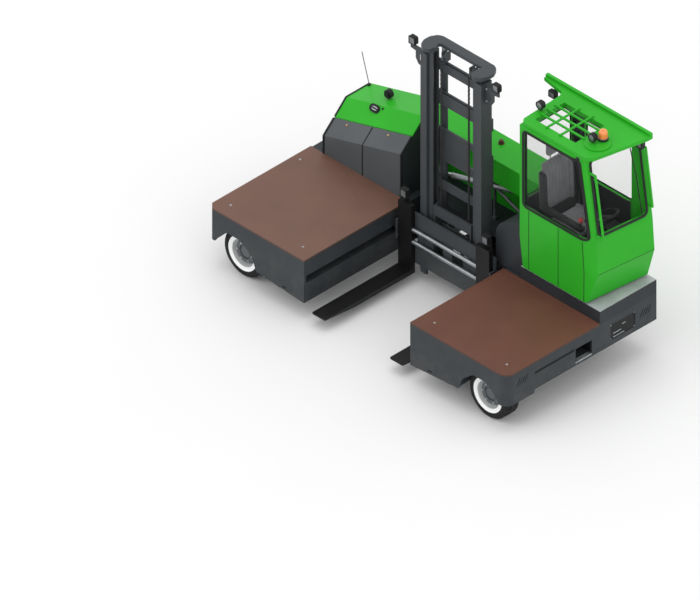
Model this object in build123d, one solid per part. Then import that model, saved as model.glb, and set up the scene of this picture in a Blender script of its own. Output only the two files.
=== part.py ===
from build123d import *
import math
import os

# Side loader forklift. Millimetres, +X along the truck towards the cab, forks point to -Y, +Z up.
# The origin is on the floor under the middle of the truck.
os.makedirs("parts", exist_ok=True)

# Overall sizes
HALF_LENGTH = 2053.0
HALF_DEPTH = 1031.5
WELL = 730.0                 # half the gap between the two load decks
DECK_TOP = 712.0
PLY = 18.0
FRAME_TOP = DECK_TOP - PLY
PLATE = 14.0                 # frame plate
SKIRT = 20.0                 # skirt plate
GAP = 6.0                    # clearance round a moving piece
RUN = 0.05                   # radial clearance of a pin in its bore
OVER = 5.0                   # how far a cutting block stands past what it cuts
FAR = 4000.0                 # more than the truck's size, for blocks that cut a piece in two

# Wheels, the same one three times
TYRE_R = 266.5
TYRE_W = 200.0
RIM_R = 169.0
AXLE_R = 30.0
WHEEL_X = HALF_LENGTH - 368.0
WHEEL_Y = -HALF_DEPTH + 205.5
WHEELS = [                   # name, x, y
    ("left", -WHEEL_X, WHEEL_Y),
    ("right", WHEEL_X, WHEEL_Y),
    ("rear", 0.0, HALF_DEPTH - 311.5),
]
TURRET_Z = 2 * TYRE_R + 33.0
TURRET_R = 130.0
KING_R = 45.0
SWING = math.hypot(TYRE_R, TYRE_W / 2)

# Mast
RAIL_OUT = 418.0
RAIL_IN = 335.0
MAST_Y0 = HALF_DEPTH - 774.5
MAST_Y1 = MAST_Y0 + 146.0
FLANGE = 22.0
MAST_Z0 = 100.0
MAST_TOP = 2720.0
CROWN_Z = MAST_TOP + 50.0
CROWN_T = 40.0
INNER_X0 = RAIL_IN - 60.0
INNER_X1 = RAIL_OUT - 30.0
INNER_Y0 = MAST_Y0 + 29.0
INNER_Y1 = MAST_Y1 - 29.0
INNER_T = 16.0
CYL_X = RAIL_IN - 35.0
CYL_Y = MAST_Y1 + 65.0
CYL_R = 38.0
ROD_R = 25.0

# Reach rail in the inner side of each deck
RAIL_Z0 = 425.0
RAIL_Z1 = 515.0
ROLLER_R = (RAIL_Z1 - RAIL_Z0) / 2 - 0.6
RAIL_Y0 = -HALF_DEPTH + 31.5
RAIL_Y1 = HALF_DEPTH - 331.5

# Forks and fork frame
FORK_IN = 443.0
FORK_OUT = 626.0
FORK_T = 50.0
FORK_TOP = 149.0
SHANK_Y = MAST_Y0 - 100.0
SHANK_TOP = 902.0
TILT_Y = MAST_Y0 + 5.0
TILT_Z = 510.0
TILT_R = 20.0
FRAME_HALF = WELL - 78.0
FRAME_Y = MAST_Y0 - 45.0     # front of the fork frame's plates
FRAME_T = 22.0
ROD_Y = SHANK_Y + FORK_T / 2
FORK_ROD_R = 22.0
FORK_ROD_Z = (476.0, 621.0)

# Reach cylinder, lying level behind the mast
EYE = (-400.0, MAST_Y1 + 132.0)              # x, y of the eye on the mast
PIVOT = (540.0, HALF_DEPTH - 131.5)          # x, y of the pin on the rear frame
REACH_Z = 1150.0
BARREL_R = 32.0
PISTON_R = 20.0

# Hood over the engine, sloping down towards -X
HOOD_X0 = -HALF_LENGTH + 172.0
HOOD_X1 = -WELL - 81.0
HOOD_Y = HALF_DEPTH - 644.5
HOOD_BEND0 = DECK_TOP + 207.0
HOOD_BEND1 = DECK_TOP + 516.0
HOOD_T = 14.0
HOOD_SLOPE = 164.0           # depth of the green slope
HOOD_DARK = 146.0            # depth of the dark slope below it
HOOD_RISE = 305.0            # from the bend up to the top

# Cab
CAB_X0 = WELL + 232.0
CAB_X1 = HALF_LENGTH - 55.0                  # widest, at the crease
CAB_W = CAB_X1 - CAB_X0
CAB_Y0 = HALF_DEPTH - 789.5
CAB_Y1 = HALF_DEPTH - 19.5
CAB_MID = (CAB_Y0 + CAB_Y1) / 2
PLINTH_TOP = DECK_TOP + 137.0
CAB_Z0 = PLINTH_TOP + 24.0
CAB_CREASE = CAB_Z0 + 345.0
CAB_SILL = CAB_Z0 + 702.0
CAB_TOP = CAB_Z0 + 1675.0
CAB_WALL = 36.0
CAB_FLOOR = CAB_Z0 + 20.0


def blk(x0, x1, y0, y1, z0, z1):
    return Pos((x0 + x1) / 2, (y0 + y1) / 2, (z0 + z1) / 2) * Box(abs(x1 - x0), abs(y1 - y0), abs(z1 - z0))


def rod(r, p, q):
    p = Vector(*p)
    q = Vector(*q)
    plane = Plane(origin=p, z_dir=q - p)
    return plane * Cylinder(r, (q - p).length, align=(Align.CENTER, Align.CENTER, Align.MIN))


def face(points):
    return make_face(Polyline(*points, close=True))


def prism_x(yz, x0, x1):
    return extrude(face([(x0, y, z) for y, z in yz]), amount=x1 - x0, dir=(1, 0, 0))


def prism_y(xz, y0, y1):
    return extrude(face([(x, y0, z) for x, z in xz]), amount=y1 - y0, dir=(0, 1, 0))


def prism_z(xy, z0, z1):
    return extrude(face([(x, y, z0) for x, y in xy]), amount=z1 - z0, dir=(0, 0, 1))


def rounded(points, radii, steps=5):
    out = []
    n = len(points)
    for i in range(n):
        r = radii[i] if isinstance(radii, (list, tuple)) else radii
        px, py = points[i]
        ax, ay = points[i - 1]
        bx, by = points[(i + 1) % n]
        la = math.hypot(ax - px, ay - py)
        lb = math.hypot(bx - px, by - py)
        ua = ((ax - px) / la, (ay - py) / la)
        ub = ((bx - px) / lb, (by - py) / lb)
        cosine = ua[0] * ub[0] + ua[1] * ub[1]
        half = math.acos(max(-1.0, min(1.0, cosine))) / 2
        cut = min(r / math.tan(half), la * 0.49, lb * 0.49) if r > 0 else 0
        if cut < 0.5:
            out.append((px, py))
            continue
        s = (px + ua[0] * cut, py + ua[1] * cut)
        e = (px + ub[0] * cut, py + ub[1] * cut)
        for k in range(steps + 1):
            t = k / steps
            w = ((1 - t) ** 2, 2 * t * (1 - t), t ** 2)
            out.append((w[0] * s[0] + w[1] * px + w[2] * e[0], w[0] * s[1] + w[1] * py + w[2] * e[1]))
    return out


def save(name, shape):
    export_step(shape, "parts/" + name + ".step")


def fuse(items):
    out = items[0]
    for s in items[1:]:
        out = out + s
    return out


# Outline of one side's deck, with the outer front corner cut on the left and round on the right
LEFT_CORNER = 60.0
RIGHT_CORNER = 100.0


def side_plan(side, inset, y_back):
    x0, x1 = sorted((side * (WELL + inset), side * (HALF_LENGTH - inset)))
    y0 = -HALF_DEPTH + inset
    plan = face([(x0, y0), (x1, y0), (x1, y_back - inset), (x0, y_back - inset)])
    outer_front = plan.vertices().sort_by(Axis.Y)[:2].sort_by(Axis.X)[-1 if side > 0 else 0]
    if side > 0:
        return fillet(outer_front, RIGHT_CORNER - inset)
    return chamfer(outer_front, LEFT_CORNER - inset * 0.586)


# Frames: one plate weldment under each deck, with a wheel well and a rail for the mast's carriage
FRONT_EDGE = 206.0           # lower edge of the front skirt at the gap
SKIRT_EDGE = 339.0           # lower edge of the outer skirt, at the wheel
SILL_EDGE = 379.0            # lower edge of the outer skirt, behind the wheel
WALL_EDGE = 392.0            # lower edge of the cross plates
HOUSING_R = 105.0
HOUSING_Z = TURRET_Z + 26.0
CHANNEL = 76.0               # depth of the rail behind the inner side
CHANNEL_T = 12.0
CHANNEL_LIP = 15.0
STEP_Y = (-80.0, 145.0)
STEP_Z = (402.0, 575.0)
RECESS_Z = (560.0, 590.0)
LOCKER_Z = (440.0, 620.0)
VENT_H = 40.0                # half height of the slanted vents
VENT_STEP = 36.0
ARCH = [                     # front skirt's lower edge: x from the wheel's middle, z, corner radius
    (-345.0, 250.0, 30.0),
    (-295.0, 250.0, 40.0),
    (-245.0, 390.0, 60.0),
    (-95.0, 514.0, 60.0),
    (110.0, 514.0, 60.0),
    (254.0, 365.0, 40.0),
    (270.0, SKIRT_EDGE, 10.0),
]
for side, name in ((-1, "frame_left"), (1, "frame_right")):
    wx = side * WHEEL_X
    z_top = FRAME_TOP - PLATE
    top = Pos(0, 0, z_top) * extrude(side_plan(side, 0, HALF_DEPTH), amount=PLATE, dir=(0, 0, 1))
    # Outer wall ring, following the plan's outline
    ring = extrude(side_plan(side, 0, HALF_DEPTH), amount=z_top - FRONT_EDGE, dir=(0, 0, 1))
    ring = ring - Pos(0, 0, -OVER) * extrude(side_plan(side, SKIRT, HALF_DEPTH), amount=z_top, dir=(0, 0, 1))
    ring = Pos(0, 0, FRONT_EDGE) * ring
    # Front skirt: bottom edge, wheel arch and slot
    lower = [(WELL - OVER, 100, 0), (WELL - OVER, FRONT_EDGE, 0)]
    lower = lower + [(WHEEL_X + x, z, r) for x, z, r in ARCH]
    lower = lower + [(HALF_LENGTH + OVER, SKIRT_EDGE, 0), (HALF_LENGTH + OVER, 100, 0)]
    edge = rounded([(side * x, z) for x, z, r in lower], [r for x, z, r in lower])
    ring = ring - prism_y(edge, -HALF_DEPTH - OVER, -HALF_DEPTH + SKIRT + 90)
    slot_x = WELL + 0.4 * (WHEEL_X + ARCH[0][0] - WELL)
    slot = [(slot_x, 253), (slot_x + 60, 253), (slot_x + 60, 271), (slot_x, 271)]
    slot = rounded([(side * x, z) for x, z in slot], 8.9, 4)
    ring = ring - prism_y(slot, -HALF_DEPTH - OVER, -HALF_DEPTH + SKIRT + OVER)
    # Outer side skirt: cut to its own lower edge
    side_cut = [(-HALF_DEPTH + 80, 100), (-HALF_DEPTH + 80, SKIRT_EDGE), (WHEEL_Y + 172, SKIRT_EDGE),
                (WHEEL_Y + 192, SILL_EDGE), (HALF_DEPTH + OVER, SILL_EDGE), (HALF_DEPTH + OVER, 100)]
    x_a, x_b = sorted((side * (HALF_LENGTH - SKIRT - 90), side * (HALF_LENGTH + OVER)))
    ring = ring - prism_x(side_cut, x_a, x_b)
    # Rear of the inner side stops short, so the rear cross frame joins there
    ring = ring - blk(side * (WELL - OVER), side * (WELL + SKIRT + 1), RAIL_Y1, HALF_DEPTH - SKIRT, 100, 470)
    ring = ring - blk(side * (WELL - OVER), side * (HALF_LENGTH - 60), HALF_DEPTH - SKIRT - 1,
                      HALF_DEPTH + OVER, 100, SILL_EDGE)
    # Walls of the wheel well, the kingpin housing and the cross plates
    well_in = WHEEL_X - SWING - 18
    well_back = WHEEL_Y + SWING + 12
    cross_y = CAB_Y0 + 118
    walls = [
        blk(side * (well_in - PLATE), side * well_in, -HALF_DEPTH + SKIRT, well_back + PLATE, 262, z_top),
        blk(side * (well_in - PLATE), side * (HALF_LENGTH - SKIRT), well_back, well_back + PLATE, WALL_EDGE, z_top),
        blk(side * (WELL + SKIRT), side * (HALF_LENGTH - SKIRT), cross_y, cross_y + PLATE, WALL_EDGE, z_top),
        blk(side * (well_in - PLATE), side * well_in, well_back + PLATE, HALF_DEPTH - SKIRT, WALL_EDGE, z_top),
    ]
    housing = Pos(wx, WHEEL_Y, (z_top + HOUSING_Z) / 2) * Cylinder(HOUSING_R, z_top - HOUSING_Z)
    bore = Pos(wx, WHEEL_Y, TURRET_Z + 60) * Cylinder(KING_R + RUN, 90)
    # Channel behind a slot in the inner side, for the rollers of the mast's carriage
    back = WELL + SKIRT + CHANNEL
    channel = blk(side * (WELL + SKIRT), side * (back + CHANNEL_T), RAIL_Y0 - 11.5, RAIL_Y1,
                  RAIL_Z0 - CHANNEL_LIP, RAIL_Z1 + CHANNEL_LIP)
    frame = fuse([top, ring, channel] + walls + [housing]) - bore
    frame = frame - blk(side * (WELL - OVER), side * back, RAIL_Y0, RAIL_Y1 + OVER, RAIL_Z0, RAIL_Z1)
    if side > 0:
        # Step opening, long recess, a locker's recess and slanted vents in the outer skirt
        frame = frame - blk(HALF_LENGTH - SKIRT - OVER, HALF_LENGTH + OVER, *STEP_Y, *STEP_Z)
        frame = frame + blk(HALF_LENGTH - 180, HALF_LENGTH - SKIRT, STEP_Y[0] - 20, STEP_Y[1] + 20, 386, 398)
        frame = frame - blk(HALF_LENGTH - 8, HALF_LENGTH + OVER, WHEEL_Y + 181, STEP_Y[0] - 20, *RECESS_Z)
        frame = frame - blk(HALF_LENGTH - 8, HALF_LENGTH + OVER, CAB_Y0 + 158, CAB_Y0 + 498, *LOCKER_Z)
        for y_v, z_v in ((WHEEL_Y + 16, 570), (HALF_DEPTH - 151.5, 550)):
            for k in range(4):
                y_k = y_v + VENT_STEP * (k - 1.5)
                cut = [(y_k - 26, z_v - VENT_H), (y_k - 14, z_v - VENT_H), (y_k + 26, z_v + VENT_H),
                       (y_k + 14, z_v + VENT_H)]
                frame = frame - prism_x(cut, HALF_LENGTH - SKIRT - OVER, HALF_LENGTH + OVER)
    save(name, frame)

# Load decks: sheets of faced plywood bolted on the frames
for name, side, y_back in (("deck_left", -1, HOOD_Y - 1), ("deck_right", 1, CAB_Y0 + 11)):
    save(name, Pos(0, 0, FRAME_TOP) * extrude(side_plan(side, 0, y_back), amount=PLY, dir=(0, 0, 1)))

# Rear cross frame: joins the two frames behind the mast and carries the rear wheel
rear_x, rear_y = WHEELS[2][1:3]
BEAM_Z = HOUSING_Z + 40.0
BEAM_Y = HALF_DEPTH - 391.5
LEG_X = 420.0                # inner side of the legs down beside the rear wheel
LEG_Z = 300.0
CLEVIS = 45.0                # half width of the post that holds the reach cylinder
CLEVIS_GAP = 46.0
cross = [
    blk(-WELL, WELL, BEAM_Y, HALF_DEPTH - SKIRT, BEAM_Z, FRAME_TOP - PLATE),
    blk(-WELL, WELL, BEAM_Y, HALF_DEPTH, FRAME_TOP - PLATE, FRAME_TOP),
    blk(-WELL, WELL, HALF_DEPTH - SKIRT, HALF_DEPTH, SILL_EDGE, FRAME_TOP - PLATE),
    Pos(rear_x, rear_y, HOUSING_Z + 20.5) * Cylinder(125, 41),
]
for s in (-1, 1):
    cross.append(blk(s * LEG_X, s * (LEG_X + 20), RAIL_Y1 + 20, HALF_DEPTH - SKIRT, LEG_Z, BEAM_Z))
    cross.append(blk(s * (LEG_X + 20), s * WELL, RAIL_Y1 + 20, RAIL_Y1 + 40, LEG_Z, BEAM_Z))
bore = Pos(rear_x, rear_y, TURRET_Z + 60) * Cylinder(KING_R + RUN, 90)
px, py = PIVOT
post = blk(px - CLEVIS, px + CLEVIS, py - 45, py + 95, FRAME_TOP, REACH_Z - CLEVIS_GAP)
post = post + blk(px - CLEVIS, px + CLEVIS, py + 60, py + 95, REACH_Z - CLEVIS_GAP, REACH_Z + 58)
post = post + blk(px - CLEVIS, px + CLEVIS, py - 45, py + 95, REACH_Z + 44, REACH_Z + 58)
post = post + rod(PISTON_R, (px, py, REACH_Z - CLEVIS_GAP), (px, py, REACH_Z + 44))
save("frame_rear", fuse(cross) - bore + post)

# Wheels and their steering knuckles
YOKE_IN = TYRE_W / 2 + 10.0
YOKE_OUT = TYRE_W / 2 + 44.0
LEG_HALF = 80.0
HUB_R = 60.0
for name, x, y in WHEELS:
    yoke = Pos(x, y, TURRET_Z + 10) * Cylinder(TURRET_R, 20)
    yoke = yoke + Pos(x, y, TURRET_Z + 55) * Cylinder(KING_R, 80)
    leg = [(x - LEG_HALF, TYRE_R - 90), (x + LEG_HALF, TYRE_R - 90), (x + LEG_HALF, TURRET_Z),
           (x - LEG_HALF, TURRET_Z)]
    yoke = yoke + prism_y(rounded(leg, [60, 60, 0, 0]), y + YOKE_IN, y + YOKE_OUT)
    yoke = yoke + rod(AXLE_R, (x, y + YOKE_IN + 5, TYRE_R), (x, y - 40, TYRE_R))
    save("knuckle_" + name, yoke)
    half = TYRE_W / 2
    profile = [(RIM_R, -half + 14), (RIM_R + 18, -half + 4), (TYRE_R - 46, -half), (TYRE_R - 14, -half + 12),
               (TYRE_R, -half + 30), (TYRE_R, half - 30), (TYRE_R - 14, half - 12), (TYRE_R - 46, half),
               (RIM_R + 18, half - 4), (RIM_R, half - 14)]
    tyre = revolve(face([(r, a, 0) for r, a in profile]), Axis.Y)
    save("tyre_" + name, Pos(x, y, TYRE_R) * tyre)
    bead = RIM_R - 19
    dish = [(AXLE_R + RUN, -half + 55), (70, -half + 55), (78, -half + 40), (bead - 32, -half + 40),
            (bead - 24, -half + 62), (bead - 4, -half + 62), (bead, -half + 14), (RIM_R, -half + 14),
            (RIM_R, half - 14), (bead, half - 14), (bead - 4, half - 60), (AXLE_R + RUN, half - 60)]
    rim = revolve(face([(r, a, 0) for r, a in dish]), Axis.Y)
    cap = Pos(0, -half + 51, 0) * Rot(90, 0, 0) * Cylinder(HUB_R, 8)
    save("rim_" + name, Pos(x, y, TYRE_R) * (rim + cap))

# Outer mast: two channel rails, cross members behind, slotted lamp brackets
CROSS_T = 22.0
CROSS = [                    # z from, z to
    (MAST_TOP - 215.0, MAST_TOP - 105.0),
    (MAST_TOP - 617.0, MAST_TOP - 472.0),
    (MAST_TOP - 1288.0, MAST_TOP - 909.0),
    (MAST_Z0 + 10.0, MAST_Z0 + 160.0),
]
BRACKET_Y = MAST_Y0 + 55.0
BRACKET_T = 12.0
BRACKET_Z = MAST_TOP - 220.0
BRACKET_H = 200.0
LUG_T = 14.0
rails = []
for s in (-1, 1):
    rail = blk(s * RAIL_IN, s * RAIL_OUT, MAST_Y0, MAST_Y1, MAST_Z0, MAST_TOP)
    rail = rail - blk(s * (RAIL_IN - OVER), s * (RAIL_OUT - FLANGE), MAST_Y0 + FLANGE, MAST_Y1 - FLANGE,
                      MAST_Z0 - OVER, MAST_TOP + OVER)
    rails.append(rail)
for z0, z1 in CROSS:
    rails.append(blk(-RAIL_OUT, RAIL_OUT, MAST_Y1, MAST_Y1 + CROSS_T, z0, z1))
mast = fuse(rails)
mast = mast - blk(90, 250, MAST_Y1 - OVER, MAST_Y1 + 40, CROSS[2][0] + 88, CROSS[2][1] - 71)
for s in (-1, 1):
    plate = [(0, 0), (80, 0), (120, 60), (120, 140), (190, 150), (190, BRACKET_H), (0, BRACKET_H)]
    plate = prism_y([(s * (RAIL_OUT + x), BRACKET_Z + z) for x, z in plate], BRACKET_Y, BRACKET_Y + BRACKET_T)
    mast = mast + (plate - blk(s * (RAIL_OUT + 50), s * (RAIL_OUT + 72), BRACKET_Y - OVER,
                               BRACKET_Y + BRACKET_T + OVER, BRACKET_Z + 45, BRACKET_Z + 125))
for z_c in (REACH_Z - 52, REACH_Z + 38):
    lug = [(-RAIL_OUT, MAST_Y1 - 60), (-RAIL_OUT, MAST_Y1), (-RAIL_IN - 13, MAST_Y1), (-RAIL_IN - 13, EYE[1] + 30),
           (EYE[0] - 45, EYE[1] + 30), (EYE[0] - 75, MAST_Y1 - 60)]
    mast = mast + prism_z(lug, z_c, z_c + LUG_T)
save("mast_outer", mast)

# Reach carriage: arms out to the rails in the decks, with four rollers
ARM_Z = (RAIL_Z0 + RAIL_Z1) / 2
ARM_H = 32.0
ARM_OUT = WELL - 14.0
ARM_IN = WELL - 90.0
ROLLER_X = WELL + SKIRT + 6.0
ROLLER_W = 60.0
for s, name in ((-1, "reach_arm_left"), (1, "reach_arm_right")):
    arm = [
        blk(s * ARM_IN, s * ARM_OUT, MAST_Y0 - 7, MAST_Y1 + 257, ARM_Z - ARM_H, ARM_Z + ARM_H),
        blk(s * RAIL_OUT, s * ARM_IN, MAST_Y0 + 33, MAST_Y1 - 3, ARM_Z - ARM_H, ARM_Z + ARM_H),
        blk(s * RAIL_OUT, s * (RAIL_OUT + 32), MAST_Y0 + 5, MAST_Y1 - 3, 300, 640),
    ]
    for y in (MAST_Y0 + 43, MAST_Y1 + 207):
        arm.append(rod(18, (s * ARM_OUT, y, ARM_Z), (s * ROLLER_X, y, ARM_Z)))
        arm.append(rod(ROLLER_R, (s * ROLLER_X, y, ARM_Z), (s * (ROLLER_X + ROLLER_W), y, ARM_Z)))
    save(name, fuse(arm))

# Lift cylinders behind the rails, and their rods under the crown of the inner mast
CYL_Z0 = 140.0
CYL_Z1 = CROWN_Z - 210.0
GLAND = 50.0
CLIP_Z = (CROSS[1][0] + 7, CROSS[1][1] - 8)
barrels = []
rods = []
for s in (-1, 1):
    x = s * CYL_X
    tube = rod(CYL_R, (x, CYL_Y, CYL_Z0), (x, CYL_Y, CYL_Z1))
    tube = tube - rod(ROD_R + 5.5, (x, CYL_Y, CYL_Z0 + 30), (x, CYL_Y, CYL_Z1 - 40))
    tube = tube - rod(ROD_R + RUN, (x, CYL_Y, CYL_Z1 - GLAND), (x, CYL_Y, CYL_Z1 + OVER))
    foot = blk(x - 45, x + 45, MAST_Y1 + CROSS_T, CYL_Y + 45, CYL_Z0 - 22, CYL_Z0)
    clip = blk(x - 30, x + 30, MAST_Y1 + CROSS_T, CYL_Y - CYL_R + 6, *CLIP_Z)
    barrels.append(tube + foot + clip)
    rods.append(rod(ROD_R, (x, CYL_Y, CYL_Z0 + 100), (x, CYL_Y, CROWN_Z)))
save("lift_barrels", Compound(barrels))
save("lift_rods", Compound(rods))

# Inner mast: two channel rails inside the outer ones, tie plates, the crown plate and two chain sheaves
TIES = [                     # z from, z to
    (CROSS[0][0] + 10, CROSS[0][1] - 10),
    (CROSS[1][0] + 10, CROSS[1][1] - 10),
    (MAST_TOP - 1605.0, MAST_TOP - 1505.0),
    (MAST_Z0 + 180.0, MAST_Z0 + 320.0),
]
CROWN = [                    # x, y from the mast's front, corner radius, right half
    (298.0, 146.0, 25.0),
    (273.0, 60.0, 60.0),
    (290.0, -20.0, 50.0),
    (350.0, -38.0, 50.0),
    (412.0, 0.0, 60.0),
    (446.0, 75.0, 80.0),
    (442.0, 155.0, 80.0),
    (404.0, 225.0, 60.0),
    (350.0, 250.0, 40.0),
]
SHEAVE_X = 190.0
SHEAVE_Y = INNER_Y1 - 9.0
SHEAVE_Z = CROWN_Z - 80.0
SHEAVE_R = 45.0
parts = []
for s in (-1, 1):
    rail = blk(s * INNER_X0, s * INNER_X1, INNER_Y0, INNER_Y1, MAST_Z0 + 60, CROWN_Z)
    rail = rail - blk(s * (INNER_X0 - OVER), s * (INNER_X1 - INNER_T), INNER_Y0 + INNER_T, INNER_Y1 - INNER_T,
                      MAST_Z0 + 50, CROWN_Z - 20)
    parts.append(rail)
for z0, z1 in TIES:
    parts.append(blk(-RAIL_IN + GAP, RAIL_IN - GAP, INNER_Y1, INNER_Y1 + 20, z0, z1))
ring = [(x, MAST_Y0 + y) for x, y, r in CROWN] + [(-x, MAST_Y0 + y) for x, y, r in reversed(CROWN)]
radii = [r for x, y, r in CROWN] + [r for x, y, r in reversed(CROWN)]
parts.append(prism_z(rounded(ring, radii, 4), CROWN_Z, CROWN_Z + CROWN_T))
for s in (-1, 1):
    x = s * SHEAVE_X
    parts.append(rod(SHEAVE_R, (x - 14, SHEAVE_Y, SHEAVE_Z), (x + 14, SHEAVE_Y, SHEAVE_Z)))
    for side in (-1, 1):
        parts.append(blk(x + side * 16, x + side * 28, SHEAVE_Y - 20, SHEAVE_Y + 55, SHEAVE_Z - 25, CROWN_Z))
    parts.append(rod(14, (x - 28, SHEAVE_Y, SHEAVE_Z), (x + 28, SHEAVE_Y, SHEAVE_Z)))
save("mast_inner", fuse(parts))

# Lift carriage inside the inner mast
CHEEK = 238.0
CHEEK_T = 20.0
CHEEK_Z = (250.0, 800.0)
TRAY_Z = (850.0, 965.0)      # beam across the front of the cheeks' upper ends
AXLE_Y = (INNER_Y0 + INNER_Y1) / 2
GUIDE_R = (INNER_Y1 - INNER_Y0) / 2 - INNER_T - 0.6
plates = []
for s in (-1, 1):
    plates.append(blk(s * CHEEK, s * (CHEEK + CHEEK_T), MAST_Y0 + 19, AXLE_Y + 22, *CHEEK_Z))
    for z in (CHEEK_Z[0] + 80, CHEEK_Z[1] - 80):
        plates.append(rod(14, (s * (CHEEK + 12), AXLE_Y, z), (s * (INNER_X0 + 25), AXLE_Y, z)))
        plates.append(rod(GUIDE_R, (s * (INNER_X0 + 25), AXLE_Y, z), (s * (INNER_X1 - INNER_T - GAP), AXLE_Y, z)))
    plates.append(rod(TILT_R, (s * 200, TILT_Y, TILT_Z), (s * (CHEEK + 2), TILT_Y, TILT_Z)))
    plates.append(blk(s * CHEEK, s * (CHEEK + CHEEK_T), TILT_Y - 24, MAST_Y0 + 23, TILT_Z - 24, TILT_Z + 24))
for z in (CHEEK_Z[0] + 50, CHEEK_Z[1] - 160):
    plates.append(blk(-CHEEK - 7, CHEEK + 7, AXLE_Y + 2, AXLE_Y + 22, z, z + 100))
for s in (-1, 1):
    plates.append(blk(s * CHEEK, s * (CHEEK + CHEEK_T), MAST_Y0 + 19, AXLE_Y + 22, CHEEK_Z[1], TRAY_Z[1]))
plates.append(blk(-CHEEK, CHEEK, MAST_Y0 + 19, MAST_Y0 + 43, *TRAY_Z))
save("lift_carriage", fuse(plates))

# Lift chains, from the carriage up to the sheaves
CHAIN_W = 12.0
CHAIN_Y = SHEAVE_Y - SHEAVE_R
chains = []
for s in (-1, 1):
    chains.append(blk(s * SHEAVE_X - CHAIN_W, s * SHEAVE_X + CHAIN_W, CHAIN_Y - 9, CHAIN_Y, CHEEK_Z[1] - 55, SHEAVE_Z))
save("lift_chains", Compound(chains))

# Fork frame: upper and lower plates, side plates, and the two rods the forks hang on
UPPER_Z = (634.0, 806.0)
LOWER_Z = (213.0, 440.0)
END_T = 18.0
EAR_IN = 204.0
EAR_OUT = 232.0
EAR_H = 34.0
frame_back = FRAME_Y + FRAME_T
frame = [
    blk(-FRAME_HALF, FRAME_HALF, FRAME_Y, frame_back, *UPPER_Z),
    blk(-FRAME_HALF, FRAME_HALF, FRAME_Y, frame_back, *LOWER_Z),
]
for x0, x1 in ((-410, -330), (-60, 60), (330, 410)):
    frame.append(blk(x0, x1, FRAME_Y, frame_back, LOWER_Z[1], UPPER_Z[0]))
for s in (-1, 1):
    frame.append(blk(s * (FRAME_HALF - END_T), s * FRAME_HALF, SHANK_Y - 7, frame_back, LOWER_Z[1], UPPER_Z[0] + 26))
    frame.append(blk(s * EAR_IN, s * EAR_OUT, frame_back, TILT_Y + 30, TILT_Z - EAR_H, TILT_Z + EAR_H))
    frame.append(blk(s * EAR_IN, s * 350, frame_back - 12, frame_back, TILT_Z - EAR_H, TILT_Z + EAR_H))
frame = fuse(frame)
for s in (-1, 1):
    frame = frame - rod(TILT_R + RUN, (s * (EAR_IN - 9), TILT_Y, TILT_Z), (s * (EAR_OUT + 4), TILT_Y, TILT_Z))
save("fork_frame", frame)
bars = []
for z in FORK_ROD_Z:
    bars.append(rod(FORK_ROD_R, (-FRAME_HALF + END_T, ROD_Y, z), (FRAME_HALF - END_T, ROD_Y, z)))
save("fork_rods", Compound(bars))

# Forks: L-shaped blades that slide on the rods
TIP = 12.0
TIP_T = 12.0
TAPER = 420.0
for name, s in (("fork_left", -1), ("fork_right", 1)):
    shape = [(-HALF_DEPTH, FORK_TOP - TIP_T), (-HALF_DEPTH, FORK_TOP), (SHANK_Y, FORK_TOP), (SHANK_Y, SHANK_TOP),
             (SHANK_Y + FORK_T, SHANK_TOP), (SHANK_Y + FORK_T, FORK_TOP - FORK_T),
             (-HALF_DEPTH + TAPER, FORK_TOP - FORK_T)]
    a, b = sorted((s * FORK_IN, s * FORK_OUT))
    tip = [(a, -HALF_DEPTH + TIP), (a + TIP, -HALF_DEPTH), (b - TIP, -HALF_DEPTH), (b, -HALF_DEPTH + TIP),
           (b, MAST_Y1), (a, MAST_Y1)]
    blade = prism_x(shape, a, b) & prism_z(tip, 0, SHANK_TOP + OVER)
    for z in FORK_ROD_Z:
        blade = blade - rod(FORK_ROD_R + RUN, (a - OVER, ROD_Y, z), (b + OVER, ROD_Y, z))
    save(name, blade)


# Work lamps: a round housing on a stalk, that faces -Y or, with aim 1, +Y
LAMP_R = 46.0
LAMP_D = 44.0


def work_lamp(x, y, z, foot, aim=-1):
    back = y - aim * LAMP_D / 2
    lamp = rod(LAMP_R, (x, y + aim * LAMP_D / 2, z), (x, back, z))
    lamp = lamp + rod(LAMP_R * 0.6, (x, back, z), (x, back - aim * 18, z))
    return lamp + rod(9, (x, y, foot), (x, y, z))


# Square lamps on the mast's brackets and on the fork frame
MAST_LAMP_X = RAIL_OUT + 155.0
FORK_LAMP_X = FRAME_HALF - 92.0
FORK_LAMP_Z = SHANK_TOP + 100.0
lamps = []
for s in (-1, 1):
    x = s * MAST_LAMP_X
    y = BRACKET_Y + BRACKET_T / 2
    z = BRACKET_Z + BRACKET_H
    box = blk(x - LAMP_R, x + LAMP_R, y - LAMP_D / 2, y + LAMP_D / 2, z + 4, z + 4 + 2 * LAMP_R)
    lamps.append(fillet(box.edges().filter_by(Axis.Y), 22) + rod(9, (x, y, z), (x, y, z + LAMP_R)))
save("mast_lamps", Compound(lamps))
lamps = []
for s in (-1, 1):
    x = s * FORK_LAMP_X
    stalk = blk(x - 30, x + 30, FRAME_Y, FRAME_Y + 12, UPPER_Z[1], FORK_LAMP_Z + 40)
    box = blk(x - 42, x + 42, FRAME_Y - 48, FRAME_Y, FORK_LAMP_Z - 46, FORK_LAMP_Z + 46)
    lamps.append(stalk + box)
save("fork_lamps", Compound(lamps))

# Reach cylinder
d = Vector(EYE[0] - PIVOT[0], EYE[1] - PIVOT[1], 0)
reach_len = d.length
d = d / reach_len
BARREL_END = 900.0


def along(t, z=REACH_Z):
    return (PIVOT[0] + d.X * t, PIVOT[1] + d.Y * t, z)


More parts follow.
